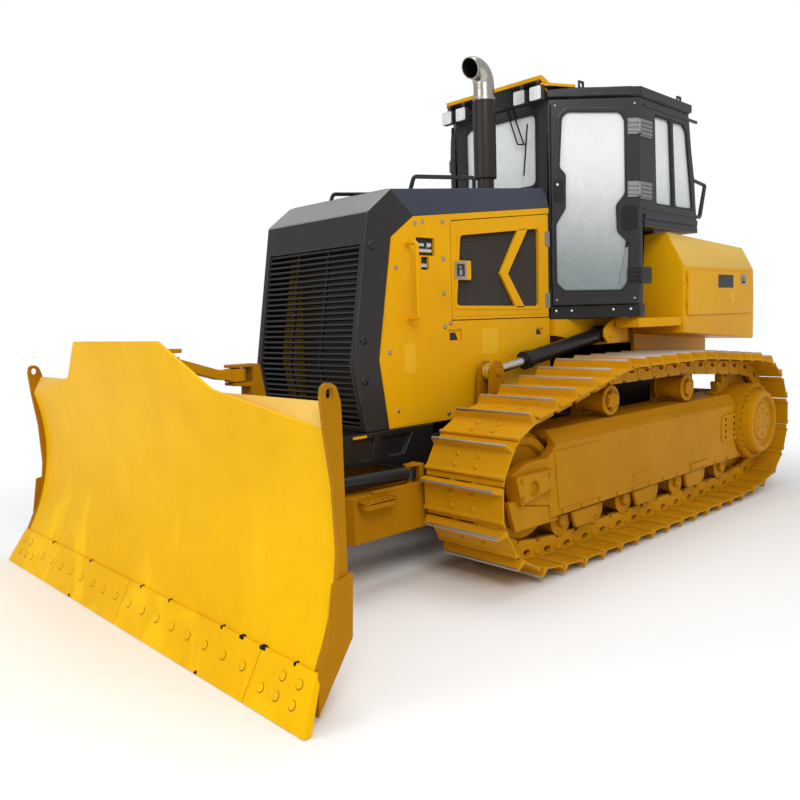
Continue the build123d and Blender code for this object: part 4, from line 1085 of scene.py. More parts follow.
class Track(SideAssembly):
    """One closed chain of links and single-grouser shoes."""

    def wheels(self) -> list[tuple[float, float, float]]:
        """Circles (x, z, radius) that the pin line runs round, anticlockwise."""
        s = self.sizes
        low = s.tip + s.corner_wrap
        last = s.roller_first - s.roller_step * (s.rollers - 1)
        return [s.idler, *((x, z, s.carrier_wrap) for x, z in s.carriers), s.sprocket,
                (last - s.corner_past, low, s.corner_wrap), (s.roller_first + s.corner_past, low, s.corner_wrap)]

    def pins(self) -> list[Vector]:
        """Pins spaced evenly round the chain, from where it leaves the idler."""
        wheels = self.wheels()
        leaving = []
        for (x0, z0, r0), (x1, z1, r1) in zip(wheels, wheels[1:] + wheels[:1]):
            span = math.hypot(x1 - x0, z1 - z0)
            leaving.append(math.atan2(z1 - z0, x1 - x0) - math.acos((r0 - r1) / span))
        arcs = []
        for index, (x, z, r) in enumerate(wheels):
            start = leaving[index - 1]
            turn = (leaving[index] - start) % math.tau
            steps = max(2, int(turn / 0.02))
            angles = [start + turn * step / steps for step in range(steps + 1)]
            arcs.append([Vector((x + r * math.cos(a), 0.0, z + r * math.sin(a))) for a in angles])
        line = arcs[0][-1:] + [point for arc in arcs[1:] + arcs[:1] for point in arc]
        total = sum((b - a).length for a, b in zip(line, line[1:]))
        return along(line, round(total / self.sizes.pitch) + 1)[:-1]

    def link(self) -> bpy.types.Mesh:
        """One shoe on its pair of links; local X runs against the chain, Z outwards."""
        s = self.sizes
        low, high = s.plate
        half = s.half_width
        cap = half - 0.02
        form = Form(SHADED_TRACK_YELLOW)
        shoe = ((0.098, low), (0.101, low + 0.006), (0.1, high + 0.004), (0.094, high + 0.01), (0.084, high + 0.009),
                (0.074, high + 0.001), (0.066, high - 0.001), (-0.052, high - 0.002), (-0.058, high + 0.004),
                (-0.0705, 0.118), (-0.0725, s.tip - 0.003), (-0.0815, s.tip - 0.003), (-0.084, 0.118),
                (-0.0945, high), (-0.0955, low + 0.002), (-0.088, low - 0.006), (-0.04, low - 0.001))
        form.prism(shoe, Axis.Y, -half, half, 0.0022)
        lip = ((0.088, low), (0.101, low - 0.001), (0.128, 0.049), (0.13, 0.042), (0.1, 0.05), (0.088, 0.053))
        form.prism(lip, Axis.Y, -half + 0.004, half - 0.004, 0.0015, 1)
        for vert in form.bm.verts:
            if vert.co.z > 0.1 and abs(vert.co.y) > half - 0.01:
                vert.co.y -= math.copysign(0.016 * (vert.co.z - 0.1) / 0.027 + 0.002, vert.co.y)
        form.use(STEEL_TIP)
        form.prism(((-0.0682, 0.111), (-0.0712, s.tip - 0.003), (-0.0735, s.tip), (-0.0812, s.tip),
                    (-0.0845, s.tip - 0.004), (-0.0868, 0.111)), Axis.Y, -cap, cap, 0.0012)
        form.use(SHADED_TRACK_YELLOW)
        for y in (-0.078, 0.078):
            for x in (-0.02, 0.044):
                form.dome((x, y, high - 0.001), UPWARDS, 0.0175, 0.012, 10)
        plate = ((-0.1005, 0.058), (-0.1005, -0.016), (-0.084, -0.05), (-0.074, -s.rail), (0.074, -s.rail),
                 (0.084, -0.05), (0.1005, -0.016), (0.1005, 0.058))
        for way in (-1, 1):
            centre = way * 0.08
            form.plate(plate, [ring(0.0, 0.02, 0.036, 0.02, 12)], Axis.Y, centre - 0.019, centre + 0.019, 0.0025)
            for x, r in ((-0.1016, 0.03), (0.1016, 0.026)):
                form.turned(((0.0, r + 0.01), (0.004, r + 0.009), (0.0055, r), (0.003, r - 0.004), (0.002, 0.0)),
                            (x, centre + way * 0.019, 0.0), (0, way, 0), 12)
        form.rod((-0.1016, -0.062, 0.0), (-0.1016, 0.062, 0.0), 0.033, 14, 0.003)
        return form.mesh("link")

    def build(self) -> None:
        """Stamp the link round the chain."""
        link = self.link()
        pins = self.pins()
        form = Form(SHADED_TRACK_YELLOW, STEEL_TIP)
        for pin, after in zip(pins, pins[1:] + pins[:1]):
            middle = (pin + after) / 2 + Vector((0, self.sizes.centre, 0))
            form.stamp(link, frame_matrix(middle, (pin - after).normalized(), LEFTWARDS))
        bpy.data.meshes.remove(link)
        form.pair(self.side, "track_chain", "track")


class Undercarriage(SideAssembly):
    """Track frame, rollers, idler and final drive of one side."""

    def frame(self) -> None:
        """The roller frame with its covers, guards and idler fork."""
        form = Form(SHADED_CHASSIS_YELLOW).adopt("track_frame_left", 0.006)
        face = 1.2152
        # overlay plate near the front, tall cover with eight holes near the rear
        form.prism(((0.1, 0.375), (0.56, 0.375), (0.6, 0.73), (0.1, 0.73)), Axis.Y, face - 0.004, face + 0.006)
        form.box((-0.52, face - 0.004, 0.375), (-0.3, face + 0.004, 0.45), 0.002)
        form.prism(rounded(rect(-1.91, 0.485, -1.62, 0.705), 0.07, 6), Axis.Y, face - 0.004, face + 0.01)
        form.box((-1.4, face - 0.004, 0.352), (-1.12, face + 0.012, 0.395), 0.004)
        # the cover's eight holes and the round hole as flat black discs: painted shade
        form.use(SOOT_AND_SHADE)
        for z in (0.525, 0.573, 0.621, 0.669):
            for x in (-1.84, -1.69):
                form.dome((x, face + 0.0095, z), LEFTWARDS, 0.0155, 0.001, 12)
        form.turned(((0.0, 0.0), (0.0, 0.036), (0.001, 0.034), (0.001, 0.0)), (0.846, 1.216, 0.551), LEFTWARDS, 20)
        form.use(SHADED_CHASSIS_YELLOW)
        for x, z in ((0.7, 0.5), (0.7, 0.61), (0.95, 0.505), (0.96, 0.61)):
            form.bolt((x, 1.2552, z), LEFTWARDS, 0.013)
        for index in range(13):
            form.bolt((0.52 - index * 0.205, face, 0.352), LEFTWARDS, 0.012)
        form.pair(self.side, "roller_frame", "track_frame")

    def rollers(self) -> None:
        """The track rollers in their collars."""
        s = self.sizes
        r, z = s.roller_radius, s.roller_z
        form = Form(SHADED_CHASSIS_YELLOW)
        half = ((0.0, r - 0.004), (0.048, r - 0.004), (0.052, r), (0.096, r), (0.101, r + 0.012), (0.11, r + 0.013),
                (0.111, r + 0.006), (0.112, 0.06), (0.108, 0.052), (0.112, 0.046), (0.122, 0.044), (0.136, 0.04),
                (0.1365, 0.0))
        for index in range(s.rollers):
            x = s.roller_first - s.roller_step * index
            for way in (1, -1):
                form.turned(half, (x, s.centre, z), (0, way, 0), 28)
            for y in (s.centre - 0.124, s.centre + 0.124):
                form.box((x - 0.045, y - 0.011, z - 0.028), (x + 0.045, y + 0.011, 0.33), 0.006)
        form.pair(self.side, "rollers", "track_rollers")

    def carriers(self) -> None:
        """The two carrier rollers with star caps."""
        y = self.sizes.centre
        form = Form(SHADED_CHASSIS_YELLOW)
        tread = ((-0.101, 0.0), (-0.101, 0.08), (-0.113, 0.098), (-0.101, 0.1015), (-0.098, 0.088), (0.098, 0.088),
                 (0.101, 0.1015), (0.113, 0.098), (0.115, 0.08), (0.113, 0.072), (0.085, 0.07), (0.085, 0.054),
                 (0.128, 0.052), (0.1325, 0.046), (0.1325, 0.03), (0.128, 0.026), (0.128, 0.0))
        for x, z in self.sizes.carriers:
            form.turned(tread, (x, y, z), LEFTWARDS, 36).rod((x, 0.915, z), (x, y, z), 0.036, 20)
            for index in range(6):
                spin = Matrix.Rotation(index * math.tau / 6 + 0.52, 4, "Y")
                form.at(Matrix.Translation((x, 0, z)) @ spin @ Matrix.Translation((-x, 0, -z)))
                form.box((x + 0.03, y + 0.095, z - 0.009), (x + 0.072, y + 0.1305, z + 0.009), 0.002)
            form.at(None)
        form.pair(self.side, "carriers", "carrier_rollers")

    def idler(self) -> None:
        """The front idler wheel."""
        s = self.sizes
        x, z, pin_r = s.idler
        tread = math.sqrt(pin_r ** 2 - (s.pitch / 2) ** 2) - s.rail
        half = ((0.0, tread + 0.03), (0.048, tread + 0.03), (0.053, tread + 0.024), (0.055, tread), (0.09, tread),
                (0.095, tread - 0.006), (0.095, tread - 0.044), (0.088, tread - 0.052), (0.068, tread - 0.06),
                (0.064, tread - 0.1), (0.07, 0.125), (0.086, 0.112), (0.095, 0.104), (0.096, 0.074), (0.112, 0.07),
                (0.1122, 0.0))
        form = Form(SHADED_CHASSIS_YELLOW)
        for way in (1, -1):
            form.turned(half, (x, s.centre, z), (0, way, 0), 64)
        form.pair(self.side, "idler_wheel", "idler")

    def drive(self) -> None:
        """The sprocket and its hub with a ring of bolts."""
        s = self.sizes
        x, z, pin_r = s.sprocket
        hub = ((0.56, 0.0), (0.56, 0.25), (1.0, 0.25), (1.002, 0.306), (1.01, 0.312), (1.236, 0.312),
               (1.243, 0.309), (1.246, 0.3), (1.246, 0.272), (1.252, 0.268), (1.3, 0.262), (1.322, 0.25),
               (1.33, 0.238), (1.33, 0.214), (1.325, 0.204), (1.304, 0.196), (1.3, 0.188), (1.3, 0.158),
               (1.304, 0.152), (1.312, 0.149), (1.315, 0.142), (1.315, 0.06), (1.311, 0.054), (1.311, 0.0))
        form = Form(SHADED_CHASSIS_YELLOW).turned(hub, (x, 0.0, z), LEFTWARDS, 96)
        for a, b in ring(x, z, 0.29, 0.29, 32):
            form.rod((a, 1.226, b), (a, 1.256, b), 0.0235, 12, 0.002)
            form.rod((a, 1.246, b), (a, 1.265, b), 0.0145, 6, 0.001)
        for a, b in ring(x, z, 0.105, 0.105, 6, 0.5):
            form.bolt((a, 1.315, b), LEFTWARDS, 0.011)
        profile = ((0.0, -0.038), (0.26, -0.038), (0.36, -0.02), (0.5, 0.008), (0.56, 0.01), (0.7, 0.01),
                   (0.76, 0.008), (0.9, -0.02))
        teeth = []
        for index in range(s.teeth):
            for share, past in profile:
                angle = math.tau * index / s.teeth + math.tau * share / s.teeth
                teeth.append((x + (pin_r + past) * math.cos(angle), z + (pin_r + past) * math.sin(angle)))
        form.plate(teeth, [ring(x, z, 0.3, 0.3, 48)], Axis.Y, s.centre - 0.03, s.centre + 0.03)
        form.pair(self.side, "final_drive", "final_drive")

    def build(self) -> None:
        """Make the side's pieces."""
        for make in (self.frame, self.rollers, self.carriers, self.idler, self.drive):
            make()


class Hull(Assembly):
    """Main frame, engine, nose guard and drawbar."""

    def build(self) -> None:
        """Make the hull's pieces."""
        copied("main_frame", "hull", CHARCOAL, 0.006)
        copied("engine_block", "engine", IRON, 0.02)
        form = Form(BLACK).adopt("nose_guard", 0.005)
        form.use(YELLOW).box((1.455, 0.5135, 0.856), (1.56, 0.5156, 0.871), 0.0005)
        form.place("nose_beam", "chassis", "nose_guard")
        copied("drawbar", "drawbar_jaws", IRON, 0.006)


class Bonnet(Assembly):
    """Hood, radiator mask, side panels, doors, exhaust and rails."""

    window = ((-0.237, 1.6), (0.64, 1.612), (0.593, 2.058), (-0.237, 2.148))

    @staticmethod
    def band(x: float) -> float:
        """Height of the hood's lower edge."""
        return 2.153 + (1.01 - x) * 0.1096

    @staticmethod
    def top(x: float) -> float:
        """Height of the hood's top."""
        return 2.303 + (1.193 - x) * 0.0947

    def cover(self) -> None:
        """The hood, its rails, the mask and the grille."""
        # hood in dark grey with a painted blue sky reflection
        copied("hood", "hood_cover", SKY_TINTED_HOOD_GREY, 0.006)
        form = Form(CHARCOAL).adopt("radiator_mask", 0.008)
        # faces sloping up and forward in the lighter grey: partly a painted sky reflection
        form.tint(MASK_SLOPE_SHEEN, lambda at, way: way.z > 0.3 and way.x > 0.2 and at.z > 2.1)
        form.use(BLACK)
        for z, x in ((1.965, 1.355), (1.42, 1.438), (1.185, 1.44)):
            for way in (-1, 1):
                form.dome((x, way * 0.499, z), (0, way, 0), 0.027, 0.012, 18)
        form.place("mask", "chassis", "radiator_mask")
        form = Form(CHARCOAL).adopt("radiator_grille", 0.0012, 1)
        form.use(CORE).box((1.15, -0.452, 0.915), (1.158, 0.452, 1.99), 0.001)
        form.place("grille", "chassis", "radiator_grille")
        front, rear = 0.935, 0.33
        rise = self.top(front) + 0.085
        form = Form(BLACK)
        form.line(((front, 0.4, self.top(front) - 0.01), (0.895, 0.4, rise), (rear, 0.4, rise + 0.049),
                   (rear, 0.4, self.top(rear) - 0.01)), 0.0135, 12, 0.045)
        form.mirror().place("hood_handrails", "chassis", "hood_rails")

    def exhaust(self) -> None:
        """The black can, its clamp and the bent bright pipe."""
        x, y, mouth = 0.015, 0.235, 3.15
        form = Form(STACK)
        form.turned(((-0.08, 0.0), (-0.08, 0.06), (0.095, 0.06), (0.1, 0.0785), (0.108, 0.08), (0.62, 0.08),
                     (0.628, 0.078), (0.632, 0.073), (0.632, 0.0)), (x, y, 2.408), UPWARDS, 48)
        form.use(PIPE_STEEL).bent((x + 0.1, y, mouth), (x, y, mouth), 0.073, 0.006, 115, 22, 36)
        form.rod((x, y, 3.03), (x, y, 3.1505), 0.073, 36)
        # the pipe's bore in near-black: soot and painted shade
        form.use(SOOT_AND_SHADE).bent((x + 0.1, y, mouth), (x, y, mouth), 0.0665, 0.002, 114, 18, 28)
        form.use(BOLT_STEEL)
        form.turned(((0.0, 0.074), (0.0, 0.079), (0.022, 0.079), (0.022, 0.074)), (x, y, 3.042), UPWARDS, 40)
        form.box((x + 0.074, y - 0.02, 3.045), (x + 0.094, y + 0.01, 3.063))
        form.place("exhaust", "chassis", "exhaust_stack")

    def panel(self, side: Side) -> None:
        """One yellow side panel with its seams, bolts, vents and grab handle."""
        rear, sill = -0.365, 0.686
        outline = ((rear, self.band(rear) - 0.001), (1.01, 2.152), (1.198, 2.019), (1.321, 1.3), (1.257, 0.882),
                   (0.2, 0.882), (rear, 1.12), (rear, 1.515), (sill, 1.515), (sill, self.band(sill) - 0.041),
                   (rear, self.band(rear) - 0.041))
        pockets = ((0.834, 1.92, 0.996, 2.028, 0.012), (0.886, 1.833, 0.955, 1.912, 0.008),
                   (0.597, 1.376, 0.727, 1.458, 0.008), (-0.281, 1.386, -0.198, 1.443, 0.008))
        holes = [rounded(rect(*corners), radius, 3) for *corners, radius in pockets]
        overlay = ((0.792, 0.895), (0.792, 2.166), (1.004, 2.142), (1.19, 2.012), (1.312, 1.3), (1.248, 0.893))
        form = Form(YELLOW).plate(outline, holes, Axis.Y, 0.48, 0.5)
        form.plate(overlay, holes[:2], Axis.Y, 0.4985, 0.503, 0.0015)
        form.box((0.585, 0.4785, 1.364), (0.739, 0.489, 1.47), 0.001)
        form.box((-0.292, 0.4785, 1.376), (-0.187, 0.489, 1.454), 0.001)
        form.use(CHARCOAL)
        form.prism(((0.625, 1.39), (0.7, 1.39), (0.7, 1.44), (0.65, 1.44)), Axis.Y, 0.486, 0.4905, 0.0)
        form.prism(((-0.27, 1.396), (-0.215, 1.396), (-0.215, 1.432), (-0.255, 1.432)), Axis.Y, 0.486, 0.4905, 0.0)
        form.box((0.825, 0.466, 1.828), (1.004, 0.4805, 2.036), 0.001)
        form.use(CHROME)
        for start, end, z, radius in ((0.86, 0.975, 1.95, 0.014), (0.866, 0.905, 1.985, 0.017),
                                      (0.925, 0.978, 1.985, 0.013)):
            form.rod((start, 0.488, z), (end, 0.488, z), radius, 16)
        form.box((0.895, 0.482, 1.85), (0.945, 0.492, 1.872), 0.002)
        form.use(YELLOW)
        x, low, high = 1.08, 1.535, 1.985
        form.line(((x, 0.497, high), (x, 0.592, high), (x, 0.592, low), (x, 0.497, low)), 0.013, 14, 0.045)
        for z in (high, low):
            form.turned(((0.0, 0.0), (0.0, 0.026), (0.006, 0.024), (0.008, 0.0)), (x, 0.501, z), LEFTWARDS, 20)
        form.use(BOLT_STEEL)
        for x, z in ((0.755, 2.135), (0.755, 1.905), (0.755, 1.69), (0.755, 1.48), (0.7, 1.5), (0.935, 2.125),
                     (1.0, 2.11), (1.17, 1.84), (1.245, 1.34), (1.185, 0.985), (0.74, 0.925)):
            form.dome((x, 0.5015, z), LEFTWARDS, 0.0155, 0.0085, 12)
        form.use(LABEL).box((1.029, 0.5, 1.204), (1.123, 0.5042, 1.386), 0.0006)
        form.box((0.233, 0.497, 1.286), (0.398, 0.5012, 1.461), 0.0006)
        form.pair(side, "engine_side", "side_panel")

    def hatch(self, side: Side) -> None:
        """One engine door with its chevron, latch and hinges."""
        low, high = -0.357, 0.68
        window = rounded(self.window, 0.03, 4)
        leaf = ((low, 1.521), (high, 1.521), (high, self.band(high) - 0.046), (low, self.band(low) - 0.046))
        lip = ((-0.262, 1.575), (0.668, 1.587), (0.618, 2.084), (-0.262, 2.176))
        form = Form(YELLOW).plate(rounded(leaf, 0.012, 3), [window], Axis.Y, 0.479, 0.499, 0.0025)
        form.plate(rounded(lip, 0.045, 4), [window], Axis.Y, 0.497, 0.5035, 0.0025)
        chevron = ((-0.073, 1.59), (0.025, 1.59), (0.197, 1.824), (-0.01, 2.133), (-0.118, 2.144), (0.112, 1.824))
        form.prism(chevron, Axis.Y, 0.482, 0.5035)
        form.prism(rounded(rect(0.496, 1.776, 0.66, 1.9), 0.01, 3), Axis.Y, 0.48, 0.504, 0.002)
        form.prism(rect(-0.335, 1.543, 0.658, 1.553), Axis.Y, 0.497, 0.5012, 0.001)
        form.use(BOLT_STEEL)
        form.plate(rounded(rect(0.545, 1.782, 0.655, 1.894), 0.012, 3),
                   [rounded(rect(0.562, 1.799, 0.638, 1.877), 0.008, 3)], Axis.Y, 0.502, 0.508, 0.001)
        form.use(IRON).box((0.56, 0.502, 1.797), (0.64, 0.5045, 1.879), 0.0005)
        form.use(BOLT_STEEL).dome((0.6, 0.504, 1.858), LEFTWARDS, 0.01, 0.004, 12)
        form.prism(((0.585, 1.806), (0.615, 1.806), (0.611, 1.842), (0.589, 1.842)), Axis.Y, 0.503, 0.5085, 0.001)
        form.use(HINGE_STEEL)
        for z in (1.64, 2.08):
            form.rod((low, 0.504, z - 0.055), (low, 0.504, z + 0.055), 0.0065, 12)
            form.box((low, 0.497, z - 0.052), (low + 0.04, 0.503, z + 0.052), 0.001)
        form.pair(side, "engine_hatch", "engine_door", "engine_door")

    def mesh(self, side: Side) -> None:
        """The crossed wires behind the door's window."""
        form = Form(MESH_BLACK)
        lowest, highest, left, right = 1.592, 2.156, -0.244, 0.648
        pitch, radius = 0.022, 0.0032
        for step in range(1, int((right - left + highest - lowest) / pitch)):
            shift = step * pitch
            x0 = left + shift
            ends = ((min(x0, right), lowest + max(0.0, x0 - right)),
                    (max(left, x0 - (highest - lowest)), min(highest, lowest + shift)))
            for way in (1, -1):
                depth = 0.4745 + way * 0.0012
                (ax, az), (bx, bz) = ends if way > 0 else [(left + right - x, z) for x, z in ends]
                form.rod((ax, depth, az), (bx, depth, bz), radius, 4)
        # a black sheet behind the wires: painted shade of the engine bay
        form.use(SOOT_AND_SHADE).box((left, 0.4702, lowest), (right, 0.4712, highest), 0.0)
        form.pair(side, "hatch_mesh", "engine_mesh", "engine_door")

    def build(self) -> None:
        """Make the bonnet's pieces."""
        self.cover()
        self.exhaust()
        for side in SIDES:
            for make in (self.panel, self.hatch, self.mesh):
                make(side)


DOOR_PLACE = frame_matrix((-0.44, 0.45, 0.0), (-0.729, 0.684, 0.0), UPWARDS)
HINGES = (1.808, 2.425, 2.87)


class Cab(Assembly):
    """The operator's cab and what stands in it."""

    window = ((0.038, 1.76), (0.1, 1.7), (0.531, 1.693), (0.58, 1.763), (0.589, 2.045), (0.503, 2.132),
              (0.495, 2.313), (0.561, 2.395), (0.556, 2.917), (0.52, 2.98), (0.126, 2.992), (0.084, 2.945),
              (0.064, 2.59), (0.108, 2.54), (0.106, 2.305), (0.036, 2.19))
    corners = (0.04, 0.04, 0.04, 0.05, 0.06, 0.05, 0.05, 0.06, 0.04, 0.05, 0.05, 0.05, 0.04, 0.04, 0.05, 0.06)

    def opening(self, by: float = 0.0) -> Outline:
        """The door window's rounded outline, moved inwards by a distance."""
        return rounded(inset(self.window, by) if by else self.window, self.corners, 4)

    def shell(self) -> None:
        """Frame, roof, sill and visor."""
        form = Form(BLACK).adopt("cab_sill", 0.006).at(DOOR_PLACE)
        form.prism(rect(0.03, 1.508, 0.64, 1.53), Axis.Z, 0.002, 0.0045, 0.001).use(CHROME)
        for a in (0.045, 0.16, 0.47, 0.6):
            form.dome((a, 1.56, 0.0036), UPWARDS, 0.012, 0.006, 12)
        form.place("cab_step", "chassis", "cab_sill")
        copied("cab_base", "cab_foot", YELLOW, 0.004)
        form = Form(CAB_GREY).adopt("cab_frame", 0.01, 3)
        # rubber round the side windows and the windscreen
        form.use(RUBBER)
        for pane in (((-1.198, 2.338), (-1.165, 3.0), (-1.418, 3.0), (-1.474, 2.338)),
                     ((-1.504, 2.338), (-1.448, 3.0), (-1.622, 3.0), (-1.69, 2.953), (-1.812, 2.34))):
            for y in (-1, 1):
                form.plate(rounded(inset(pane, -0.006), 0.03, 3), [rounded(inset(pane, 0.014), 0.03, 3)], Axis.Y,
                           y * 0.872, y * 0.8845)
        screen = rect(-0.35, 2.48, 0.35, 3.015)
        form.plate(rounded(inset(screen, -0.012), 0.06), [rounded(inset(screen, 0.014), 0.05)], Axis.X,
                   -0.452, -0.436)
        form.use(HINGE_STEEL)
        for way in (1, -1):
            for z in HINGES:
                form.use(HINGE_STEEL if z > 2 else BLACK)
                form.box((-1.09, way * 0.892, z - 0.062), (-0.93, way * 0.914, z + 0.062), 0.006)
                for lift in (-0.042, -0.014, 0.014, 0.042):
                    form.box((-1.08, way * 0.91, z + lift - 0.008), (-0.925, way * 0.924, z + lift + 0.008))
            form.use(CAB_GREY)
            for low, high, out in ((2.186, 2.206, 0.01), (2.222, 2.262, 0.016), (2.288, 2.3, 0.008),
                                   (3.03, 3.052, 0.008)):
                plan = ((-0.99, 0.903 + out), (-1.862, 0.881 + out), (-1.862, 0.87), (-0.99, 0.89))
                form.prism([(x, way * y) for x, y in plan], Axis.Z, low, high, 0.004)
        form.place("cab_shell", "chassis", "cab_frame")
        copied("cab_roof", "roof", CAB_GREY, 0.008, segments=3)
        form = Form(YELLOW).adopt("visor", 0.005)
        form.tint(BLACK, lambda at, way: way.z < -0.3 or (at.z < 3.15 and way.x > 0.5))
        form.place("sun_visor", "chassis", "visor")

    def screen(self) -> None:
        """Panes of the cab, with the wiper on the windscreen."""
        copied("cab_glass", "panes", PANE, 0.0, weigh=False)
        x = -0.425
        form = Form(BLACK)
        for a, b in (((0.067, 3.131), (0.184, 2.811)), ((0.116, 3.127), (0.24, 2.808)),
                     ((0.277, 2.944), (0.239, 2.575)), ((0.184, 2.811), (0.262, 2.8))):
            form.rod((x, *a), (x, *b), 0.006, 8)
        form.box((x - 0.012, 0.05, 3.105), (x + 0.012, 0.135, 3.15), 0.004).place("wiper", "chassis")

    def lamps(self) -> None:
        """Square work lamps at the front and rear of the roof."""
        front, rear = (-0.43, -0.285, 0.285, 0.43), (-0.6, 0.6)
        form = Form(TRIM)
        for y in front:
            form.box((-0.368, y - 0.05, 3.06), (-0.322, y + 0.05, 3.16), 0.008)
            form.box((-0.362, y - 0.012, 3.15), (-0.35, y + 0.012, 3.204), 0.002)
        for y in rear:
            form.box((-1.792, y - 0.055, 2.985), (-1.755, y + 0.055, 3.08), 0.008)
            form.box((-1.765, y - 0.015, 3.042), (-1.735, y + 0.015, 3.078))
        form.use(LAMP)
        for y in front:
            form.prism(rounded(rect(y - 0.047, 3.063, y + 0.047, 3.157), 0.012, 3), Axis.X, -0.324, -0.3115, 0.004)
        for y in rear:
            form.prism(rounded(rect(y - 0.05, 2.99, y + 0.05, 3.075), 0.012, 3), Axis.X, -1.7995, -1.79, 0.004)
        form.place("lamps", "chassis", "work_lamps")

    def door(self, side: Side) -> None:
        """One cab door with its wavy window, rubber, handle, gas strut and hinges."""
        hole = self.opening()
        form = Form(CAB_GREY).at(DOOR_PLACE)
        form.plate(rounded(rect(0.016, 1.605, 0.653, 3.07), 0.035), [hole], Axis.Z, 0.008, 0.034, 0.004)
        form.plate(self.opening(-0.026), [hole], Axis.Z, 0.032, 0.038)
        form.use(RUBBER).plate(self.opening(-0.004), [self.opening(0.011)], Axis.Z, 0.022, 0.04)
        # handle recess and bright button
        form.use(BLACK).prism(rounded(rect(0.03, 2.35, 0.098, 2.515), 0.024), Axis.Z, 0.034, 0.0405, 0.002)
        form.prism(rounded(rect(0.036, 2.362, 0.06, 2.45), 0.008, 3), Axis.Z, 0.04, 0.047)
        form.use(CHROME).dome((0.0565, 2.473, 0.04), UPWARDS, 0.011, 0.006, 16)
        form.use(BLACK).prism(rounded(rect(0.52, 2.135, 0.64, 2.31), 0.03), Axis.Z, 0.034, 0.04, 0.002)
        form.rod((0.594, 2.227, 0.026), (0.56, 2.01, 0.026), 0.01, 12)
        form.use(BOLT_STEEL).rod((0.56, 2.01, 0.026), (0.512, 1.75, 0.026), 0.005, 10)
        for a, z in ((0.045, 1.64), (0.62, 1.64), (0.62, 3.03), (0.045, 3.03)):
            form.dome((a, z, 0.034), UPWARDS, 0.009, 0.004, 12)
        for z in HINGES:
            form.use(HINGE_STEEL if z > 2 else BLACK)
            form.prism(rounded(rect(0.566, z - 0.056, 0.651, z + 0.056), 0.008, 3), Axis.Z, 0.034, 0.044, 0.002)
            form.rod((0.653, z - 0.047, 0.042), (0.653, z + 0.047, 0.042), 0.0112, 16)
            for lift in (-0.03, 0.0, 0.03):
                form.prism(rect(0.57, z + lift - 0.008, 0.648, z + lift + 0.008), Axis.Z, 0.043, 0.052)
        form.pair(side, "door", "cab_door", "cab_door")
        pane = Form(PANE).at(DOOR_PLACE).prism(self.opening(-0.008), Axis.Z, 0.014, 0.02, 0.0)
        pane.pair(side, "door_pane", "door_glass", "cab_door", weigh=False)

    def interior(self) -> None:
        """Console, levers and the padded seat."""
        form = Form(TRIM)
        form.prism(((-0.497, 1.62), (-0.497, 2.3), (-0.56, 2.298), (-0.638, 2.18), (-0.638, 1.62)), Axis.Y,
                   -0.33, 0.33, 0.02, 4)
        form.use(CAB_GREY).prism(rounded(rect(-0.22, 2.205, 0.22, 2.285), 0.02, 3), Axis.X, -0.618, -0.59, 0.004)
        form.place("dash", "chassis", "console")
        form = Form(TRIM).box((-1.3, -0.18, 1.62), (-0.95, 0.18, 1.88), 0.03, 3)
        for way in (1, -1):
            low, high = sorted((way * 0.24, way * 0.34))
            form.box((-1.4, low, 1.99), (-1.34, high, 2.16), 0.012, 3)
            low, high = sorted((way * 0.27, way * 0.34))
            form.box((-1.4, low, 2.15), (-0.9, high, 2.2), 0.018, 4)
            y = way * 0.305
            form.rod((-0.96, y, 2.195), (-0.95, y, 2.3), 0.012, 14).dome((-0.95, y, 2.295), UPWARDS, 0.026, 0.045, 18)
        form.place("seat_base", "chassis", "operator_seat")
        lean = Matrix.Translation((-1.36, 0, 2.01)) @ Matrix.Rotation(-0.2375, 4, "Y")
        self.cushion("seat_cushion", (-1.38, -0.25, 1.885), (-0.88, 0.25, 2.03), Matrix())
        self.cushion("seat_back", (-0.06, -0.24, 0.0), (0.06, 0.24, 0.745), lean)
        self.cushion("head_rest", (-0.045, -0.13, 0.0), (0.045, 0.13, 0.17), Matrix.Translation((-1.545, 0, 2.755)))

    @staticmethod
    def cushion(name: str, low: Point, high: Point, turn: Matrix) -> None:
        """One crowned cushion between two corners, with a welted seam round it."""
        low, high = Vector(low), Vector(high)
        middle, half = (low + high) / 2, (high - low) / 2
        shape = bmesh.new()
        bmesh.ops.create_cube(shape, size=2.0)
        bmesh.ops.subdivide_edges(shape, edges=shape.edges[:], cuts=11, use_grid_fill=True)
        for vert in shape.verts:
            x, y, z = vert.co
            crown = [1 - 0.16 * (1 - (1 - b * b) * (1 - c * c)) for b, c in ((y, z), (x, z), (x, y))]
            pull = 1 - 0.05 * math.exp(-((abs(x) - 0.55) / 0.06) ** 2) - 0.05 * math.exp(-((abs(y) - 0.45) / 0.05) ** 2)
            corner = Vector((x * crown[0], y * crown[1], z * crown[2])) * pull
            vert.co = middle + Vector((corner.x * half.x, corner.y * half.y, corner.z * half.z))
        piece = Form(SEAT_CLOTH).at(turn).add(shape).place(name, "chassis", smooth=70.0, weigh=False)

    def build(self) -> None:
        """Make the cab's pieces."""
        for make in (self.shell, self.screen, self.lamps, self.interior):
            make()
        for side in SIDES:
            self.door(side)


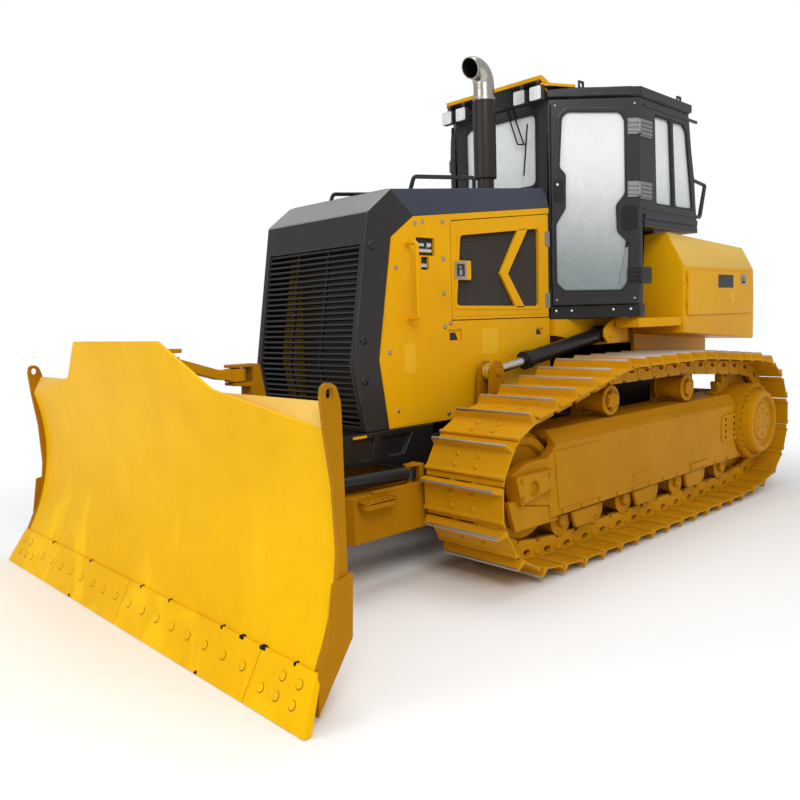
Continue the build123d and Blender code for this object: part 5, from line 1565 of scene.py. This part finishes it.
class RearTank(Assembly):
    """Rear tank, fenders and service doors."""

    def shell(self) -> None:
        """The tank with its folded corners, ledges and skirts."""
        form = Form(YELLOW)
        side = ((-1.4, 1.362), (-1.4, 2.15), (-2.7, 2.075), (-2.735, 1.65), (-2.735, 1.272))
        cuts = (((0.0, 0.87, 2.15), (0.0, 0.27, 0.13)), ((-1.4, 0.87, 0.0), (0.13, 0.03, 0.0)))
        form.carved(side, Axis.Y, 0.56, 1.0, cuts, 0.012, 3)
        # upward-facing outer folds in the paler enamel: painted sheen and dust
        form.tint(SLOPE_SHEEN_YELLOW, lambda at, way: way.y > 0.6 and way.z > 0.3)
        form.prism(((-0.93, 0.7), (-0.93, 0.9), (-1.401, 0.995), (-1.401, 0.561), (-1.14, 0.561), (-1.14, 0.7)),
                   Axis.Z, 1.42, 1.49, 0.006)
        form.prism(((-1.42, 1.08), (-1.42, 1.4), (-2.7, 1.31), (-2.7, 1.08)), Axis.Y, 0.545, 0.575, 0.004)
        form.box((-2.1, 0.66, 2.094), (-1.78, 0.8, 2.122), 0.01, 3)
        form.box((-1.72, 0.62, 2.118), (-1.46, 0.82, 2.139), 0.006)
        form.use(CHARCOAL)
        front, rear, y = -1.87, -2.01, 0.73
        form.line(((front, y, 2.115), (front, y, 2.14), (rear, y, 2.132), (rear, y, 2.108)), 0.006, 8, 0.008)
        form.use(BOLT_STEEL)
        for x in (-1.7, -1.48):
            for y in (0.65, 0.79):
                form.bolt((x, y, 2.1385 - (abs(x) - 1.46) * 0.02), UPWARDS, 0.008)
        form.mirror().use(YELLOW)
        form.prism(((-1.812, 1.295), (-1.812, 2.1), (-2.665, 2.075), (-2.735, 1.65), (-2.723, 1.295)), Axis.Y,
                   -0.565, 0.565, 0.01, 3)
        form.use(CHARCOAL).turned(((0.0, 0.0), (0.0, 0.068), (0.03, 0.068), (0.036, 0.06), (0.036, 0.0)),
                                  (-2.3, -0.2, 2.083), UPWARDS, 32)
        form.place("tank", "chassis", "rear_tank")

    def door(self, side: Side) -> None:
        """One service door with its blank plate, latch and hinges."""
        x, hinges = -1.467, (1.545, 1.755)
        form = Form(YELLOW).prism(rounded(rect(-2.64, 1.5, -1.47, 1.85), 0.022), Axis.Y, 1.001, 1.016)
        for z in hinges:
            form.rod((x, 1.018, z), (x, 1.018, z + 0.05), 0.007, 12)
        for z in hinges:
            form.box((-1.525, 1.01, z), (x, 1.02, z + 0.05), 0.002)
        form.use(BLACK).prism(rounded(rect(-2.27, 1.715, -1.99, 1.822), 0.008, 3), Axis.Y, 1.014, 1.0185, 0.001)
        form.use(LABEL).box((-2.3, 1.014, 1.6), (-2.23, 1.0172, 1.672), 0.0008)
        form.use(BOLT_STEEL).prism(rounded(rect(-2.52, 1.742, -2.42, 1.832), 0.01, 3), Axis.Y, 1.012, 1.02, 0.001)
        # the latch cup's hollow in near-black: painted shade
        form.use(SOOT_AND_SHADE).prism(rounded(rect(-2.505, 1.757, -2.435, 1.802), 0.006, 3), Axis.Y, 1.016, 1.0208, 0.0)
        form.use(BOLT_STEEL).box((-2.495, 1.018, 1.772), (-2.445, 1.0245, 1.796))
        form.pair(side, "tank_door", "service_door", "service_door")

    def build(self) -> None:
        """Make the tank's pieces."""
        self.shell()
        for side in SIDES:
            self.door(side)


class BladeFrame(Assembly):
    """C-frame, yoke, upper link and the cylinders."""

    def build(self) -> None:
        """Make the frame's pieces."""
        # push frame in the darker enamel as painted shade
        form = Form(SHADED_FRAME_YELLOW).adopt("c_frame", 0.005)
        for way in (1, -1):
            step = rounded(rect(1.48, way * 0.716, 1.72, way * 0.8), 0.036, 6)
            slots = [ring(1.525 + 0.05 * k, way * 0.758, 0.014, 0.022, 10) for k in range(4)]
            form.plate(step, slots, Axis.Z, 0.54, 0.55, 0.002)
            form.plate(step, [inset(step, 0.006)], Axis.Z, 0.515, 0.556, 0.0015)
            low, high = sorted((way * 0.7, way * 0.722))
            form.prism(rect(0.3, 0.572, 1.6, 0.59), Axis.Y, low, high)
        form.place("push_frame", "c_frame", "c_frame")
        copied("angle_yoke", "yoke", SHADED_CHASSIS_YELLOW, 0.005, "angle_yoke")
        copied("upper_link", "top_link", SHADED_CHASSIS_YELLOW, 0.004, "upper_link")
        for stem, end in (("lift", "_left"), ("lift", "_right"), ("angle", "_left"), ("angle", "_right"), ("tilt", "")):
            barrel, rod = f"{stem}_barrel{end}", f"{stem}_rod{end}"
            copied(barrel, f"{stem}_cylinder{end}", BLACK, 0.003, barrel)
            copied(rod, f"{stem}_piston{end}", CHROME, 0.001, rod)


@dataclass(frozen=True)
class BladeSizes:
    """Outline and section of the blade."""

    seam: Point = (2.691, 0.187)
    middle: Point = (2.54, 0.64)
    top: Point = (2.587, 1.118)
    crest: Point = (2.715, 1.467)
    half: float = 1.6
    edge_half: float = 1.665
    plate: float = 0.02
    shoulder: Point = (0.823, 1.253)
    crest_half: float = 0.498
    beam_half: float = 1.5
    strips: int = 36


class Blade(Assembly):
    """The blade and its cutting edges."""

    def __init__(self, sizes: BladeSizes = BladeSizes()) -> None:
        """Work out the arc of the face from three points on it."""
        self.sizes = sizes
        (ax, az), (bx, bz), (cx, cz) = sizes.seam, sizes.middle, sizes.top
        d = 2 * (ax * (bz - cz) + bx * (cz - az) + cx * (az - bz))
        a2, b2, c2 = ax * ax + az * az, bx * bx + bz * bz, cx * cx + cz * cz
        self.x = (a2 * (bz - cz) + b2 * (cz - az) + c2 * (az - bz)) / d
        self.z = (a2 * (cx - bx) + b2 * (ax - cx) + c2 * (bx - ax)) / d
        self.radius = math.hypot(ax - self.x, az - self.z)

    def skin(self, z: float, back: float = 0.0) -> float:
        """Place along X of the face, or behind it by a distance, at a height."""
        (tx, tz), (cx, cz) = self.sizes.top, self.sizes.crest
        if z > tz:
            return tx + (z - tz) * (cx - tx) / (cz - tz) - back
        return self.x - math.sqrt((self.radius + back) ** 2 - (z - self.z) ** 2)

    def board(self, form: Form) -> None:
        """Add the curved mouldboard."""
        s = self.sizes
        outline = [(-s.half, s.seam[1]), (s.half, s.seam[1]), (s.half, s.top[1]), s.shoulder,
                   (s.crest_half, s.crest[1]), (-s.crest_half, s.crest[1]), (-s.shoulder[0], s.shoulder[1]),
                   (-s.half, s.top[1])]
        shape = bmesh.new()
        shape.faces.new([shape.verts.new((0.0, y, z)) for y, z in outline])
        for step in range(1, s.strips):
            level = s.seam[1] + (s.crest[1] - s.seam[1]) * step / s.strips
            bmesh.ops.bisect_plane(shape, geom=geometry(shape), plane_co=(0, 0, level), plane_no=UPWARDS)
        grown = bmesh.ops.extrude_face_region(shape, geom=shape.faces[:], use_keep_orig=True)
        back = set(picked(grown["geom"], bmesh.types.BMVert))
        for vert in shape.verts:
            vert.co.x = self.skin(vert.co.z, s.plate if vert in back else 0.0)
        form.add(shape, 0.003, 2, 0.9)

    def ends(self, form: Form) -> None:
        """Add the left end plate with its lifting ear, and the skid plate."""
        end = ((2.7, 0.03), (2.691, 0.187), (2.64, 0.3), (2.583, 0.45), (2.56, 0.64), (2.57, 0.9),
               (2.6, 1.118), (2.612, 1.25), (2.605, 1.289), (2.586, 1.303), (2.56, 1.302), (2.54, 1.289),
               (2.531, 1.268), (2.519, 1.226), (2.517, 1.176), (2.517, 0.56), (2.516, 0.297))
        form.plate(end, [ring(2.572, 1.262, 0.018, 0.022, 16)], Axis.Y, 1.58, 1.605)
        skid = ((2.7, 0.03), (2.691, 0.187), (2.64, 0.3), (2.604, 0.532), (2.503, 0.555), (2.516, 0.297))
        form.prism(skid, Axis.Y, 1.604, 1.62)

    def back(self, form: Form) -> None:
        """Add the beams, gussets, hub, link fork and tilt lug behind the board."""
        half = self.sizes.beam_half
        lower = ((2.44, 0.3), (2.44, 0.6), (2.525, 0.64),
                 *((self.skin(z, 0.01), z) for z in (0.56, 0.46, 0.36, 0.28, 0.215)), (2.56, 0.215))
        upper = ((2.455, 1.05), (2.455, 1.19), (2.53, 1.224), (2.56, 1.15), (2.56, 1.04), (2.53, 0.98))
        form.prism(lower, Axis.Y, -half, half, 0.006).prism(upper, Axis.Y, -half, half, 0.006)
        for y in (-1.1, -0.55, 0.55, 1.1):
            form.prism(((2.45, 0.59), (2.45, 1.06), (2.524, 1.06), (2.524, 0.6)), Axis.Y, y - 0.01, y + 0.01, 0.002)
        form.turned(((0.0, 0.06), (0.0, 0.111), (0.004, 0.115), (0.06, 0.115), (0.06, 0.0), (0.057, 0.0),
                     (0.057, 0.06), (0.0, 0.06)), (2.385, 0.0, 0.45), (1, 0, 0), 48)
        for z in (1.257, 1.391):
            root = self.sizes.top[0] + (z - self.sizes.top[1]) * 0.3668 - 0.01
            form.prism(((2.35, -0.06), (2.35, 0.06), (root, 0.13), (root, -0.13)), Axis.Z, z, z + 0.022, 0.004)
        form.rod((2.4, 0, 1.275), (2.4, 0, 1.395), 0.017, 20)
        form.prism(((-0.655, 0.985), (-0.64, 1.03), (-0.6, 1.045), (-0.54, 1.015), (-0.49, 0.7), (-0.71, 0.7)),
                   Axis.X, 2.365, 2.395, 0.004)
        for low in (-0.71, -0.515):
            form.prism(((2.38, 0.7), (2.38, 0.96), (2.524, 1.06), (2.524, 0.7)), Axis.Y, low, low + 0.025)
        form.use(BOLT_STEEL).rod((2.285, -0.6, 0.985), (2.37, -0.6, 0.985), 0.02, 20)

    def mouldboard(self) -> None:
        """The welded blade."""
        form = Form(SHADED_FRAME_YELLOW)
        # end plates and skid in the darker enamel as painted shade
        self.ends(form)
        # the board in the brighter blade enamel, with painted light and painted reflections
        self.board(form.mirror().use(LIT_BLADE_YELLOW))
        # the blade's top strip in the paler enamel: painted sheen and dust
        form.use(SLOPE_SHEEN_YELLOW)
        form.prism(((2.53, 1.226), (2.583, 1.13), (2.572, 1.112), (2.514, 1.208)), Axis.Y, -1.581, 1.581)
        self.back(form.use(SHADED_CHASSIS_YELLOW))
        form.place("mouldboard", "blade", "blade", 40.0)

    def edges(self) -> None:
        """The cutting edges and end bits with sunk bolts and chipped sealer at the seam."""
        # the cutting edges in the brighter blade enamel, with painted light
        form = Form(LIT_BLADE_YELLOW)
        section = ((2.806, 0.003), (2.693, 0.209), (2.669, 0.197), (2.772, 0.003))
        form.prism(section, Axis.Y, 0.002, 1.24)
        form.carved(section, Axis.Y, 1.244, self.sizes.edge_half, [((0.0, 1.67, 0.0), (0.0, 1.0, 0.2995))], 0.003)
        normal = Vector((0.877, 0.0, 0.481))
        pit = ((-0.004, 0.0), (-0.004, 0.0215), (0.0007, 0.0215), (0.0007, 0.0))
        head = ((-0.004, 0.0), (-0.004, 0.0185), (0.0012, 0.0185), (0.0034, 0.014), (0.004, 0.0))
        for y, z in (*((0.08 + 0.155 * index, 0.114) for index in range(8)),
                     (1.325, 0.08), (1.43, 0.08), (1.54, 0.08), (1.43, 0.15), (1.54, 0.15)):
            at = Vector((2.806 - (z - 0.003) * 0.5485, y, z))
            form.use(GROOVE).turned(pit, at, normal, 18)
            form.use(LIT_BLADE_YELLOW).turned(head, at + Vector((0, -0.0014, 0.0016)), normal, 18)
        # black chips at the seam and on the edge, in the same near-black
        form.mirror().use(SOOT_AND_SHADE)
        for y, w in ((0.132, 0.01), (0.437, 0.008), (0.927, 0.012), (1.09, 0.03), (1.25, 0.042), (1.476, 0.012),
                     (-0.52, 0.01), (-1.1, 0.012)):
            form.prism(((y - w * 0.5, 0.196), (y + w * 0.42, 0.19), (y + w * 0.5, 0.205), (y + w * 0.1, 0.212),
                        (y - w * 0.4, 0.21)), Axis.X, 2.68, 2.7005, 0.0)
        for y in (0.86, -0.6):
            form.prism(((y - 0.012, 0.004), (y + 0.014, 0.004), (y + 0.006, 0.02), (y - 0.004, 0.014)),
                       Axis.X, 2.78, 2.8055, 0.0)
        form.place("edges", "blade", "cutting_edges")

    def build(self) -> None:
        """Make the blade's pieces."""
        self.mouldboard()
        self.edges()


def main() -> None:
    """Build the machine on its stage."""
    logging.basicConfig(level=logging.INFO, format="%(name)s: %(message)s")
    FRAME.update(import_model())
    Stage().build()
    sizes = TrackSizes()
    groups: list[Assembly] = [Hull(), Bonnet(), Cab(), RearTank(), BladeFrame(), Blade()]
    for side in SIDES:
        groups += [Track(side, sizes), Undercarriage(side, sizes)]
    for group in groups:
        LOG.info("building %s", type(group).__name__)
        group.build()


if __name__ == "__main__":
    main()
